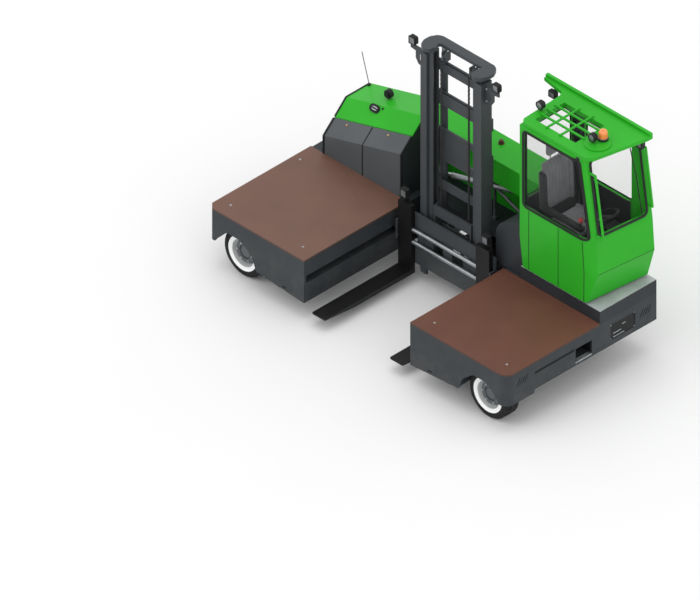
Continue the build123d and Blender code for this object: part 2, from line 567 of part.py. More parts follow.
tube = rod(BARREL_R, along(36), along(BARREL_END))
tube = tube + Pos(PIVOT[0], PIVOT[1], REACH_Z) * Cylinder(44, 76)
tube = tube - Pos(PIVOT[0], PIVOT[1], REACH_Z) * Cylinder(PISTON_R + RUN, 90)
tube = tube - rod(PISTON_R + 2, along(60), along(BARREL_END - 30))
tube = tube - rod(PISTON_R + RUN, along(BARREL_END - 40), along(BARREL_END + OVER))
save("reach_barrel", tube)
pin = rod(PISTON_R, along(70), along(reach_len - 30)) + Pos(EYE[0], EYE[1], REACH_Z) * Cylinder(36, 60)
save("reach_rod", pin)


# Hood: sections at both ends, joined by straight walls
def hood_bend(x):
    return HOOD_BEND0 + (HOOD_BEND1 - HOOD_BEND0) * (x - HOOD_X0) / (HOOD_X1 - HOOD_X0)


def hood_section(x, k):
    bend = hood_bend(x)
    y_mid = HOOD_Y + HOOD_DARK
    y_top = y_mid + HOOD_SLOPE
    return [(HOOD_Y + k, FRAME_TOP), (HOOD_Y + k, bend - k * 0.4), (y_mid + k * 0.7, bend + 142 - k * 0.7),
            (y_top + k * 0.4, bend + HOOD_RISE - k), (HALF_DEPTH - 2, bend + HOOD_RISE - k),
            (HALF_DEPTH - 2, FRAME_TOP)]


def hood_solid(k, x0=HOOD_X0, x1=HOOD_X1):
    a = Wire.make_polygon([(x0, y, z) for y, z in hood_section(x0, k)])
    b = Wire.make_polygon([(x1, y, z) for y, z in hood_section(x1, k)])
    return Solid.make_loft([a, b], True)


hood = hood_solid(0)
shell = hood - hood_solid(HOOD_T)
lid_y = HOOD_Y + HOOD_DARK
front = shell & blk(HOOD_X0 - OVER, HOOD_X1 + OVER, HOOD_Y - OVER, lid_y, FRAME_TOP, FAR)
mid = (HOOD_X0 + HOOD_X1) / 2
save("engine_panel_outer", front & blk(-FAR, mid - 4, 0, FAR, 0, FAR))
save("engine_panel_inner", front & blk(mid + 4, FAR, 0, FAR, 0, FAR))
lid = shell & blk(HOOD_X0 - OVER, HOOD_X1 + OVER, lid_y + GAP, HALF_DEPTH, HOOD_BEND0 - 19, FAR)

# Lid hinge at the back of the hood
LID_Y = HALF_DEPTH - 14.0
LID_DROP = HOOD_T + 12.0
LID_PIN = 7.0
LID_KNUCKLES = (HOOD_X0 + 181.0, HOOD_X1 - 189.0)


def lid_line(x, drop=LID_DROP):
    return (x, LID_Y, hood_bend(x) + HOOD_RISE - drop)


for x in LID_KNUCKLES:
    knuckle = rod(13, lid_line(x - 30), lid_line(x + 30))
    lid = lid + (knuckle - rod(LID_PIN + RUN, lid_line(x - 40), lid_line(x + 40)))
save("hood_lid", lid)


def end_wall(x0, x1):
    high = hood_solid(HOOD_T + GAP, x0, x1) & blk(x0, x1, 0, LID_Y - 50, 0, FAR)
    return high + (hood_solid(LID_DROP + 19, x0, x1) & blk(x0, x1, LID_Y - 60, FAR, 0, FAR))


ends = end_wall(HOOD_X0 + 2, HOOD_X0 + 16) + end_wall(HOOD_X1 - 16, HOOD_X1 - 2)
wall = hood_solid(LID_DROP + 19, HOOD_X0 + 2, HOOD_X1 - 2)
bay = ends + (wall & blk(HOOD_X0, HOOD_X1, HALF_DEPTH - 20, FAR, 0, FAR))
for x in LID_KNUCKLES:
    bay = bay + rod(LID_PIN, lid_line(x - 62), lid_line(x + 62))
    for s in (-1, 1):
        tab = [lid_line(x + s * 36, LID_DROP + 40), lid_line(x + s * 62, LID_DROP + 40),
               lid_line(x + s * 62), lid_line(x + s * 36)]
        bay = bay + rod(LID_PIN, lid_line(x + s * 36), lid_line(x + s * 62))
        bay = bay + prism_y([(p[0], p[2]) for p in tab], LID_Y - 6, LID_Y + 6)
save("engine_bay", bay)
save("engine", blk(HOOD_X0 + 181, HOOD_X1 - 149, HOOD_Y + 133, HALF_DEPTH - 71.5, FRAME_TOP, HOOD_BEND0 + 111))

# On the lid: a work lamp on a stalk, an oval latch on the slope, and an antenna
hood_x = HOOD_X0 + 0.41 * (HOOD_X1 - HOOD_X0)
hood_z = hood_bend(hood_x) + HOOD_RISE
lamp = work_lamp(hood_x, HALF_DEPTH - 184, hood_z + LAMP_R + 10, hood_z - 20, 1) - hood
slope_y = HOOD_Y + HOOD_DARK + 0.8 * HOOD_SLOPE
slope_z = hood_bend(hood_x) + 142 + 0.8 * (HOOD_RISE - 142)
slope = Plane(origin=(hood_x, slope_y + 8, slope_z - 8), x_dir=(1, 0, 0), z_dir=(0, -1, 1))
latch = slope * extrude(SlotOverall(130, 80), amount=32) - hood
save("hood_lamp", Compound([lamp, latch]))
whip_x = HOOD_X0 + 31
whip_y = HALF_DEPTH - 46.5
whip_z = HOOD_BEND0 + HOOD_RISE
whip = Pos(whip_x, whip_y, whip_z + 8) * Cylinder(18, 30)
whip = whip + rod(4, (whip_x, whip_y, whip_z + 20), (whip_x - 100, whip_y, whip_z + 360))
save("antenna", whip - hood)

# Rear cover behind the mast, with a vertical green face
COVER_T = 14.0
COVER_Z0 = REACH_Z + 110.0
COVER = (HOOD_X1 + GAP, CAB_X0 - GAP, HALF_DEPTH - 363.5, HALF_DEPTH - 2, COVER_Z0, COVER_Z0 + 268)
c0, c1, c2, c3, c4, c5 = COVER                       # x0, x1, y0, y1, z0, z1
cover = [
    blk(c0, c1, c2, c2 + COVER_T, c4, c5),
    blk(c0, c1, c2, c3, c5 - COVER_T, c5),
    blk(c0, c1, c3 - COVER_T, c3, FRAME_TOP, c5),
    blk(c0, c0 + COVER_T, c2, c3, FRAME_TOP, c5),
]
save("rear_cover", fuse(cover))

# Oil tank beside the mast, and the oil pipe from it across the rear frame
TANK_Y0 = HALF_DEPTH - 731.5
TANK_Y1 = HALF_DEPTH - 341.5
TANK_TOP = COVER_Z0 - 21.0
TANK_R = 210.0
PIPE_R = 17.0
PIPE_Z = REACH_Z - 65.0
PIPE_FOOT = (65.0, HALF_DEPTH - 232.5)               # x, y where the pipe goes down
tank = blk(WELL - 152, CAB_X0 - 17, TANK_Y0, TANK_Y1, FRAME_TOP, TANK_TOP)
tank = fillet(tank.edges().filter_by(Axis.Y).group_by(Axis.Z)[-1].sort_by(Axis.X)[0], TANK_R)
save("oil_tank", tank)
pipe = rod(PIPE_R, (*PIPE_FOOT, PIPE_Z), (WELL + 5, TANK_Y1 - 86, PIPE_Z))
pipe = pipe + Pos(*PIPE_FOOT, PIPE_Z) * Sphere(PIPE_R)
pipe = pipe + rod(PIPE_R, (*PIPE_FOOT, FRAME_TOP), (*PIPE_FOOT, PIPE_Z))
pipe = pipe + rod(PIPE_R + 10, (*PIPE_FOOT, FRAME_TOP), (*PIPE_FOOT, FRAME_TOP + 30))
save("oil_pipe", pipe - tank)

# Plinth under the cab, with rubber mounts
plinth = blk(CAB_X0 - GAP, HALF_LENGTH, CAB_Y0 + 14, HALF_DEPTH, FRAME_TOP, PLINTH_TOP)
plinth = plinth - blk(CAB_X0 + 28, HALF_LENGTH - 30, CAB_Y0 + 48, HALF_DEPTH - 30, FRAME_TOP - OVER,
                      PLINTH_TOP - PLATE)
for x in (CAB_X0 + 98, CAB_X1 - 238):
    for y in (CAB_Y0 + 98, CAB_Y1 - 82):
        plinth = plinth + Pos(x, y, (PLINTH_TOP + CAB_Z0) / 2) * Cylinder(45, CAB_Z0 - PLINTH_TOP)
save("cab_plinth", plinth)


# Cab: sections at floor, crease, sill and roof
CORNER = (128.0, 65.0)       # the slanted front right corner, along x and y
CAB_SLANT = 78.0             # how far the right side runs out from front to back
CAB_LEVELS = [               # z, left side from CAB_X0, right side's front from CAB_X1, size of the corner
    (CAB_Z0, 45.0, -125.0, 0.25),
    (CAB_CREASE, 0.0, -30.0, 1.0),
    (CAB_SILL, 0.0, -56.0, 1.0),
    (CAB_TOP, 0.0, -198.0, 1.0),
]


def cab_section(level, k):
    z, left, right, size = level
    x0 = CAB_X0 + left + k
    y_a = CAB_Y0 + CORNER[1] * size + k * 0.6
    x_a = CAB_X1 + right - k + CAB_SLANT * (y_a - CAB_Y0) / (CAB_Y1 - CAB_Y0)
    x_b = CAB_X1 + right - k + CAB_SLANT * (CAB_Y1 - k - CAB_Y0) / (CAB_Y1 - CAB_Y0)
    return [(x0, CAB_Y0 + k, z), (x_a - CORNER[0] * size + k * 0.7, CAB_Y0 + k, z), (x_a, y_a, z), (x_b, CAB_Y1 - k, z),
            (x0, CAB_Y1 - k, z)]


def cab_solid(k, low=0.0, high=0.0):
    wires = [Wire.make_polygon(cab_section(level, k)) for level in CAB_LEVELS]
    body = fuse([Solid.make_loft(wires[n:n + 2], True) for n in range(3)])
    if low or high:
        body = body & blk(0, FAR, 0, FAR, CAB_Z0 + low, CAB_TOP - high)
    return body


WIN_Z0 = CAB_SILL + 65.0
WIN_Z1 = CAB_TOP - 58.0
SEAM = 4.0
outer = cab_solid(0)
cab = outer - cab_solid(CAB_WALL, CAB_FLOOR - CAB_Z0, 30)
front_win = [(CAB_X0 + 50, CAB_SILL + 30), (CAB_X1 - 105, CAB_SILL + 30), (CAB_X1 - 250, CAB_TOP - 48),
             (CAB_X0 + 50, CAB_TOP - 48)]
front_cut = prism_y(rounded(front_win, [30, 40, 100, 30]), CAB_Y0 - OVER, CAB_Y0 + CAB_WALL + CORNER[1])
side_win = [(CAB_Y0 + 103, WIN_Z0), (CAB_Y1 - 57, WIN_Z0), (CAB_Y1 - 57, WIN_Z1), (CAB_Y0 + 103, WIN_Z1)]
side_cut = prism_x(rounded(side_win, 60), CAB_X1 - 290, CAB_X1 + 102)
left_win = [(CAB_Y0 + 68, WIN_Z0), (CAB_Y1 - 62, WIN_Z0), (CAB_Y1 - 62, WIN_Z1), (CAB_Y0 + 68, WIN_Z1)]
left_cut = prism_x(rounded(left_win, 60), CAB_X0 - OVER, CAB_X0 + CAB_WALL + GAP)
SKY = (CAB_X0 + 88, CAB_X1 - 393, CAB_Y0 + 122, CAB_Y1 - 244)         # skylight: x0, x1, y0, y1
DOOR = (CAB_X0 + 78, CAB_X1 - 168, CAB_Z0 + 25, CAB_TOP - 58)         # x0, x1, z0, z1
door_cut = blk(DOOR[0], DOOR[1], CAB_Y1 - CAB_WALL - OVER, CAB_Y1 + OVER, DOOR[2], DOOR[3])
cab = cab - front_cut - side_cut - left_cut - door_cut - blk(*SKY, CAB_TOP - 60, CAB_TOP + OVER)
for x in (CAB_X0 + 0.12 * CAB_W, CAB_X0 + 0.51 * CAB_W):
    cab = cab - blk(x - SEAM / 2, x + SEAM / 2, CAB_Y0 - OVER, CAB_Y0 + SEAM, CAB_Z0 - OVER, CAB_SILL)
HINGE = (DOOR[0] - 10, CAB_Y1 + 10)                   # x, y of the door's hinge line
HINGE_Z = (CAB_Z0 + 247, CAB_TOP - 228)
for z in HINGE_Z:
    for dz in (-30, 22):
        cab = cab + blk(HINGE[0] - 11, HINGE[0] + 8, CAB_Y1, HINGE[1] + 7, z + dz, z + dz + 8)
    cab = cab + rod(5, (HINGE[0], HINGE[1], z - 26), (HINGE[0], HINGE[1], z + 26))
save("cab_lower", cab & blk(0, FAR, 0, FAR, 0, CAB_SILL))
save("cab_upper", cab & blk(0, FAR, 0, FAR, CAB_SILL, FAR))
pane = cab_solid(10, 10, 10) - cab_solid(18, 5, 5)
save("glass_front", pane & front_cut)
save("glass_side", pane & side_cut)
save("glass_left", pane & left_cut)

# Door in the rear wall of the cab, hinged at its left edge
leaf = blk(DOOR[0] + GAP, DOOR[1] - GAP, CAB_Y1 - 30, CAB_Y1, DOOR[2] + GAP, DOOR[3] - GAP)
door_win = [(DOOR[0] + 70, WIN_Z0), (DOOR[1] - 70, WIN_Z0), (DOOR[1] - 70, WIN_Z1 - 70), (DOOR[0] + 70, WIN_Z1 - 70)]
door_cut = prism_y(rounded(door_win, 60), CAB_Y1 - 40, CAB_Y1 + 10)
leaf = leaf - door_cut
leaf = leaf + blk(DOOR[1] - 60, DOOR[1] - 40, CAB_Y1, CAB_Y1 + 18, CAB_SILL - 135, CAB_SILL - 15)
for z in HINGE_Z:
    ear = blk(DOOR[0] + GAP, DOOR[0] + 70, CAB_Y1, HINGE[1] + 3, z - 20, z + 20)
    ear = ear + blk(HINGE[0], DOOR[0] + GAP, CAB_Y1 + 2, HINGE[1] + 3, z - 20, z + 20)
    ear = ear + rod(8, (HINGE[0], HINGE[1], z - 20), (HINGE[0], HINGE[1], z + 20))
    leaf = leaf + (ear - rod(5 + RUN, (HINGE[0], HINGE[1], z - 25), (HINGE[0], HINGE[1], z + 25)))
save("door", leaf)
save("glass_door", door_cut & blk(0, FAR, CAB_Y1 - 20, CAB_Y1 - 12, 0, FAR))

# Roof with a skylight, a raised rear lip and a round shelf for the beacon
ROOF_Z = CAB_TOP + 40.0
LIP = 35.0
roof_back = CAB_Y1 - 27
roof = [(CAB_X0 + 38, CAB_Y0 + 8), (CAB_X1 - 148, CAB_Y0 + 8), (CAB_X1 - 83, CAB_Y0 + 58),
        (CAB_X1 + 32, CAB_Y1 - 162), (CAB_X1 + 50, CAB_Y1 - 87), (CAB_X1 + 50, roof_back), (CAB_X0 - 322, roof_back),
        (CAB_X0 - 352, CAB_Y1 - 82), (CAB_X0 - 62, CAB_Y1 - 132), (CAB_X0 - 27, CAB_Y1 - 189), (CAB_X0 - 2, CAB_Y0 + 58)]
roof = prism_z(roof, CAB_TOP, ROOF_Z)
roof = roof + blk(CAB_X0 - 352, CAB_X1 + 50, roof_back - LIP, roof_back, ROOF_Z - 30, ROOF_Z + 28)
SHELF = (CAB_X1 - 226, CAB_Y0 + 262, 135.0)          # x, y, radius
roof = roof + Pos(SHELF[0], SHELF[1], ROOF_Z + 6) * Cylinder(SHELF[2], 12)
roof = roof - blk(*SKY, CAB_TOP - OVER, ROOF_Z + OVER)
save("roof", roof)
save("glass_roof", blk(*SKY, CAB_TOP + 6, CAB_TOP + 14))
GUARD = 20.0
bars = []
for k in (1, 2, 3):
    y = SKY[2] + (SKY[3] - SKY[2]) * k / 4
    bars.append(blk(SKY[0] - 30, SKY[1] + 30, y - GUARD / 2, y + GUARD / 2, ROOF_Z, ROOF_Z + 16))
for k in (1, 2):
    x = SKY[0] + (SKY[1] - SKY[0]) * k / 3
    bars.append(blk(x - GUARD / 2, x + GUARD / 2, SKY[2] - 30, SKY[3] + 30, ROOF_Z, ROOF_Z + 16))
save("roof_guard", fuse(bars))

# Beacon and work lamps of the roof
shelf_z = ROOF_Z + 12
dome = [(0, 0), (56, 0), (56, 26), (47, 30), (45, 84), (36, 102), (0, 108)]
dome = revolve(face([(r, 0, z) for r, z in dome]), Axis.Z)
save("beacon", Pos(CAB_X1 - 231, CAB_Y0 + 342, shelf_z) * dome)
lamps = [
    work_lamp(CAB_X1 - 271, CAB_Y0 + 243, shelf_z + LAMP_R + 10, shelf_z),
    work_lamp(CAB_X0 + 16, CAB_Y0 + 274, ROOF_Z + LAMP_R + 18, ROOF_Z),
]
for x in (CAB_X0 - 180, CAB_X1 - 20):
    lamps.append(blk(x - 45, x + 45, CAB_Y1 - 150, CAB_Y1 - 105, CAB_TOP - 84, CAB_TOP - 14)
                 + blk(x - 12, x + 12, CAB_Y1 - 105, CAB_Y1 - 93, CAB_TOP - 70, CAB_TOP))
save("lamp_roof", Compound(lamps))

# Inside the cab: seat facing +X with an armrest, a desk and the steering wheel
SEAT_X = CAB_X0 + 0.21 * CAB_W
SEAT_L = 0.405 * CAB_W
SEAT_Y = CAB_MID - 27.0
SEAT_Z = CAB_FLOOR + 467.0
CUSHION = 120.0
seat = blk(SEAT_X, SEAT_X + SEAT_L - 40, SEAT_Y - 200, SEAT_Y + 200, CAB_FLOOR, SEAT_Z)
arm_y = CAB_Y0 + 88
seat = seat + blk(SEAT_X + 60, SEAT_X + 120, arm_y - 20, SEAT_Y - 200, CAB_FLOOR + 20, CAB_FLOOR + 80)
seat = seat + blk(SEAT_X + 60, SEAT_X + 120, arm_y - 20, arm_y + 20, CAB_FLOOR + 20, SEAT_Z + 250)
seat = seat + blk(SEAT_X + 20, SEAT_X + SEAT_L + 140, arm_y - 30, arm_y + 30, SEAT_Z + 250, SEAT_Z + 295)
stick = (SEAT_X + SEAT_L + 115, arm_y)
seat = seat + rod(10, (*stick, SEAT_Z + 295), (*stick, SEAT_Z + 360))
save("seat_base", seat + Pos(*stick, SEAT_Z + 375) * Sphere(24))
save("seat_cushion", blk(SEAT_X, SEAT_X + SEAT_L, SEAT_Y - 230, SEAT_Y + 230, SEAT_Z, SEAT_Z + CUSHION))
back_z = SEAT_Z + CUSHION
back_x = CAB_X0 + 98
rest = [(back_x, back_z), (back_x + 120, back_z), (back_x + 80, back_z + 580), (back_x - 20, back_z + 580)]
rest = prism_y(rest, SEAT_Y - 230, SEAT_Y + 230)
for y in (SEAT_Y - 60, SEAT_Y + 60):
    rest = rest + rod(8, (back_x + 25, y, back_z + 560), (back_x + 25, y, back_z + 640))
save("seat_back", rest + blk(back_x - 20, back_x + 70, SEAT_Y - 120, SEAT_Y + 120, back_z + 610, back_z + 780))
DESK_X = CAB_X0 + 0.665 * CAB_W
WHEEL_R = 0.16 * CAB_W
desk = blk(DESK_X, DESK_X + 0.135 * CAB_W, CAB_MID - 207, CAB_MID + 233, CAB_FLOOR, SEAT_Z + 90)
hub = (DESK_X + 45, CAB_MID + 13, SEAT_Z + 260)
wheel = Pos(*hub) * Rot(0, -25, 0) * (Torus(WHEEL_R, 14) + Box(2 * WHEEL_R, 36, 12))
desk = desk + wheel + rod(22, hub, (DESK_X + 100, hub[1], SEAT_Z + 80))
save("console", desk)

# Grab rails either side of the right window
RAIL_R = 13.0
rails = []
GRABS = [                    # y, x and z of the low end, x and z of the high end
    (CAB_Y0 + 88, CAB_X1 + 27, CAB_SILL + 85, CAB_X1 - 83, CAB_TOP - 188),
    (CAB_Y1 - 20, CAB_X1 + 40, CAB_SILL + 155, CAB_X1 - 53, CAB_TOP - 161),
]
for y, x0, z0, x1, z1 in GRABS:
    low = (x0, y, z0)
    high = (x1, y, z1)
    bar = rod(RAIL_R, low, high) + Pos(*low) * Sphere(RAIL_R) + Pos(*high) * Sphere(RAIL_R)
    for end in (low, high):
        bar = bar + rod(RAIL_R, end, (end[0] - 180, y, end[2]))
    rails.append(bar - outer)
save("grab_rail", Compound(rails))
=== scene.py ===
import bmesh
import bpy
import math
from mathutils import Matrix, Vector


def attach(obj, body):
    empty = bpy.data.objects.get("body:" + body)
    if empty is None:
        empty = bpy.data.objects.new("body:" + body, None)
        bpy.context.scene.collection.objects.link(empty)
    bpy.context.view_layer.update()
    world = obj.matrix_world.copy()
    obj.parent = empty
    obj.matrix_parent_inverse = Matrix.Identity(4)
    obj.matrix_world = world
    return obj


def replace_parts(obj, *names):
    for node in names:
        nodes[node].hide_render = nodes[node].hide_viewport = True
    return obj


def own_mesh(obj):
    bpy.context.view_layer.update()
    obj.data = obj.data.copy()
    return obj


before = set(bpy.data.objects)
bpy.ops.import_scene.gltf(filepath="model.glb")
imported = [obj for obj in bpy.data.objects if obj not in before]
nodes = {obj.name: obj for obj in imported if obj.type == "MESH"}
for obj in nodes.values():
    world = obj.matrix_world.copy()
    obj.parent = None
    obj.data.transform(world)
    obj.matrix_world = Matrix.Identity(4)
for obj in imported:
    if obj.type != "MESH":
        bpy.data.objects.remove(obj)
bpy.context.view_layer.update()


# Frames: two side frames and a rear cross frame, welded from steel plate and sprayed dark grey.
# The paint is satin with a faint orange peel, dusty low down and rubbed in short upright streaks.
class Tap:
    """A shader socket that Python's operators work on."""

    def __init__(self, tree, socket):
        self.tree = tree
        self.socket = socket

    def node(self, kind, settings=None, sockets=None, out=0):
        made = self.tree.nodes.new(kind)
        for name, value in (settings or {}).items():
            setattr(made, name, value)
        for name, value in (sockets or {}).items():
            socket = made.inputs[name]
            if isinstance(value, Tap):
                self.tree.links.new(value.socket, socket)
            elif socket.type == "RGBA":
                socket.default_value = (*value, 1.0)
            else:
                socket.default_value = value
        return Tap(self.tree, made.outputs[out])

    def math(self, operation, first, second):
        return self.node("ShaderNodeMath", {"operation": operation}, {0: first, 1: second})

    def __add__(self, other):
        return self.math("ADD", self, other)

    def __sub__(self, other):
        return self.math("SUBTRACT", self, other)

    def __mul__(self, other):
        return self.math("MULTIPLY", self, other)

    __radd__ = __add__
    __rmul__ = __mul__


def tint(red, green, blue):
    shares = [value / 255 for value in (red, green, blue)]
    return tuple(s / 12.92 if s < 0.04045 else ((s + 0.055) / 1.055) ** 2.4 for s in shares)


def darker(colour, share):
    return tuple(value * share for value in colour)


def start_finish(name, **steady):
    made = bpy.data.materials.new(name)
    made.use_nodes = True
    shader = made.node_tree.nodes["Principled BSDF"]
    for socket, value in steady.items():
        shader.inputs[socket.replace("_", " ")].default_value = value
    spot = made.node_tree.nodes.new("ShaderNodeTexCoord")
    return made, shader, Tap(made.node_tree, spot.outputs["Object"])


def feed(shader, **taps):
    for socket, tap in taps.items():
        tap.tree.links.new(tap.socket, shader.inputs[socket.replace("_", " ")])


def cloud(spot, scale, detail=3.0, rough=0.5, stretch=None):
    if stretch:
        spot = spot.node("ShaderNodeMapping", None, {"Vector": spot, "Scale": stretch})
    sockets = {"Vector": spot, "Scale": scale, "Detail": detail, "Roughness": rough}
    return spot.node("ShaderNodeTexNoise", None, sockets)


def rise(tap, low, high):
    return tap.node("ShaderNodeMapRange", None, {"Value": tap, "From Min": low, "From Max": high})


def mix(mask, first, second):
    return mask.node("ShaderNodeMix", {"data_type": "RGBA"}, {0: mask, 6: first, 7: second}, 2)


def bumped(height, strength, distance):
    sockets = {"Height": height, "Strength": strength, "Distance": distance}
    return height.node("ShaderNodeBump", None, sockets)


def along_axis(spot, axis):
    return spot.node("ShaderNodeSeparateXYZ", None, {0: spot}, axis)


DUST = tint(128, 120, 108)
DUST_TOP = 0.75                 # above this height only a thin film of dust lies
DUST_FULL = 0.15                # and it is thickest from here down
# Dark grey for a cab's inner faces: partly its dark trim, partly painted shade inside the cab.
INSIDE_TRIM_AND_SHADE = tint(50, 50, 53)
INSIDE_TRIM_AND_SHADE_EDGE = 0.002             # over which the paint turns into the dark trim and painted shade


def sprayed(name, colour, rough, dust, rub, trim_and_shade_box=None, **steady):
    made, shader, spot = start_finish(name, **steady)
    drift = cloud(spot, 1.6, 4.0)
    speck = cloud(spot, 70.0, 4.0, 0.6)
    low_down = rise(along_axis(spot, 2), DUST_TOP, DUST_FULL)
    grit = low_down * rise(cloud(spot, 8.0, 8.0, 0.68), 0.42, 0.75) * dust
    film = rise(cloud(spot, 3.1, 5.0, 0.6), 0.45, 0.8) * (dust * 0.25)
    scuff = rise(cloud(spot, 19.0, 9.0, 0.72, (1.0, 1.0, 0.22)), 0.66, 0.73) * rub
    base = mix(rise(drift, 0.3, 0.7), darker(colour, 0.92), darker(colour, 1.06))
    base = mix(rise(speck, 0.35, 0.75) * 0.18, base, darker(colour, 0.72))
    base = mix(grit + film, base, DUST)
    base = mix(scuff, base, darker(colour, 1.7))
    # Faces inside the given box turn dark grey: dark trim, and painted shade inside the cab.
    if trim_and_shade_box:
        inside = 1.0
        for axis, (low, high) in enumerate(zip(*trim_and_shade_box)):
            place = along_axis(spot, axis)
            inside = rise(place, low - INSIDE_TRIM_AND_SHADE_EDGE, low) * rise(place, high + INSIDE_TRIM_AND_SHADE_EDGE, high) * inside
        base = mix(inside, base, INSIDE_TRIM_AND_SHADE)
    peel = cloud(spot, 420.0, 2.0)
    feed(shader, Base_Color=base, Roughness=rough + 0.14 * speck + 0.3 * grit - 0.07,
         Normal=bumped(peel + 0.6 * speck, 0.12, 0.0006))
    return made


def dress(finish, *names):
    for name in names:
        nodes[name].data.materials.clear()
        nodes[name].data.materials.append(finish)


frame_grey = sprayed("frame_grey", tint(52, 57, 61), 0.5, dust=0.2, rub=0.2, Specular_IOR_Level=0.2)
dress(frame_grey, "frame_left", "frame_right", "frame_rear", "engine_bay")


# Right skirt: a zinc-plated chequer plate lies in the boot opening, in front of a black box of painted
# shade.
# Black sheets of painted shade back the vents and the long recess. A black cover with three plated pull bars
# is screwed on behind the step.
WELD = 0.00002                  # points closer than this become one


def add_piece(name, mesh, finishes, body, smooth=None):
    bmesh.ops.remove_doubles(mesh, verts=mesh.verts[:], dist=WELD)
    data = bpy.data.meshes.new(name)
    mesh.to_mesh(data)
    mesh.free()
    made = bpy.data.objects.new(name, data)
    bpy.context.scene.collection.objects.link(made)
    for finish in finishes:
        data.materials.append(finish)
    if smooth:
        data.polygons.foreach_set("use_smooth", [True] * len(data.polygons))
        data.set_sharp_from_angle(angle=math.radians(smooth))
    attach(made, body)
    return made


def edges_of(verts):
    return list({edge for vert in verts for edge in vert.link_edges})


def faces_of(verts):
    return list({face for vert in verts for face in vert.link_faces})


def soften(mesh, edges, width):
    bmesh.ops.bevel(mesh, geom=edges, offset=width, segments=2, profile=0.5, affect="EDGES", material=-1,
                    clamp_overlap=True)


def add_block(mesh, low, high, width=0.0, turn=None, finish=0):
    low, high = Vector(low), Vector(high)
    place = Matrix.Translation((low + high) / 2)
    if turn is not None:
        place = place @ turn
    place = place @ Matrix.Diagonal((*(high - low), 1.0))
    made = bmesh.ops.create_cube(mesh, size=1.0, matrix=place)["verts"]
    for face in faces_of(made):
        face.material_index = finish
    if width:
        soften(mesh, edges_of(made), width)


zinc_plate, shader, spot = start_finish("zinc_plate", Metallic=0.55)
cell = spot.node("ShaderNodeTexVoronoi", None, {"Vector": spot, "Scale": 46.0}, 1)
grey = spot.node("ShaderNodeRGBToBW", None, {0: cell})
smear = cloud(spot, 5.0, 6.0, 0.65)
base = mix(grey, tint(150, 156, 160), tint(190, 195, 198))
base = mix(rise(smear, 0.5, 0.8) * 0.5, base, tint(96, 98, 98))
feed(shader, Base_Color=base, Roughness=0.34 + 0.22 * smear + 0.08 * grey,
     Normal=bumped(smear + 0.2 * grey, 0.1, 0.0008))
FIRST_BAR = (2.0, -0.085, 0.4032)
BAR_STEP = (0.014, 0.0215)      # from one raised bar to the next, across and along
HALF_BAR = Vector((0.006, 0.0018, 0.001))
steps = bmesh.new()
add_block(steps, (1.99, -0.098, 0.3985), (2.052, 0.163, 0.4025), 0.001)
for row in range(4):
    for column in range(12):
        x = FIRST_BAR[0] + BAR_STEP[0] * row
        y = FIRST_BAR[1] + BAR_STEP[1] * column
        bar = Vector((x, y, FIRST_BAR[2]))
        lean = Matrix.Rotation(math.radians(45 if (row + column) % 2 else -45), 4, "Z")
        add_block(steps, bar - HALF_BAR, bar + HALF_BAR, 0.0, lean)
add_block(steps, (2.034, -0.079, 0.4022), (2.0525, 0.144, 0.414), 0.002)
add_piece("step_tread", steps, [zinc_plate], "chassis")
moulded_black, shader, spot = start_finish("moulded_black", Specular_IOR_Level=0.3)
pores = cloud(spot, 260.0, 3.0)
haze = cloud(spot, 6.0, 5.0, 0.6)
feed(shader, Base_Color=mix(rise(haze, 0.4, 0.75) * 0.5, tint(22, 23, 24), tint(40, 41, 42)),
     Roughness=0.5 + 0.22 * pores, Normal=bumped(pores, 0.2, 0.0008))
SHADE_SHEETS = [                      # two corners: black sheets of painted shade in the step's box, the vents' backs and the recess's back
    ((1.876, -0.1, 0.399), (1.88, 0.165, 0.60)),
    ((1.88, -0.1, 0.399), (2.0325, -0.096, 0.60)),
    ((1.88, 0.161, 0.399), (2.0325, 0.165, 0.60)),
    ((1.876, -0.1, 0.596), (2.0325, 0.165, 0.60)),
    ((2.0285, -0.9, 0.52), (2.0325, -0.72, 0.62)),
    ((2.0285, 0.79, 0.5), (2.0325, 0.97, 0.6)),
    ((2.0445, -0.645, 0.56), (2.0465, -0.1, 0.59)),
]
# Black sheets of painted shade inside the skirt's openings and recess.
shade_sheets = bmesh.new()
for low, high in SHADE_SHEETS:
    add_block(shade_sheets, low, high)
add_piece("skirt_shade_sheets", shade_sheets, [moulded_black], "chassis")
COVER_FACE = 2.047
PULL_BARS = [(0.44, 0.455, 0.15), (0.44, 0.498, 0.11), (0.56, 0.555, 0.05)]     # y, z, length
HALF_SCREW = 0.005
locker = bmesh.new()
add_block(locker, (2.0445, 0.401, 0.441), (2.0475, 0.739, 0.619), 0.001)
for y, z, long in PULL_BARS:
    add_block(locker, (COVER_FACE, y, z), (2.052, y + long, z + 0.008), 0.0015, None, 1)
for y in (0.41, 0.73):
    for z in (0.45, 0.61):
        add_block(locker, (COVER_FACE, y - HALF_SCREW, z - HALF_SCREW),
                  (2.0495, y + HALF_SCREW, z + HALF_SCREW), 0.001, None, 1)
add_piece("locker_cover", locker, [moulded_black, zinc_plate], "chassis")


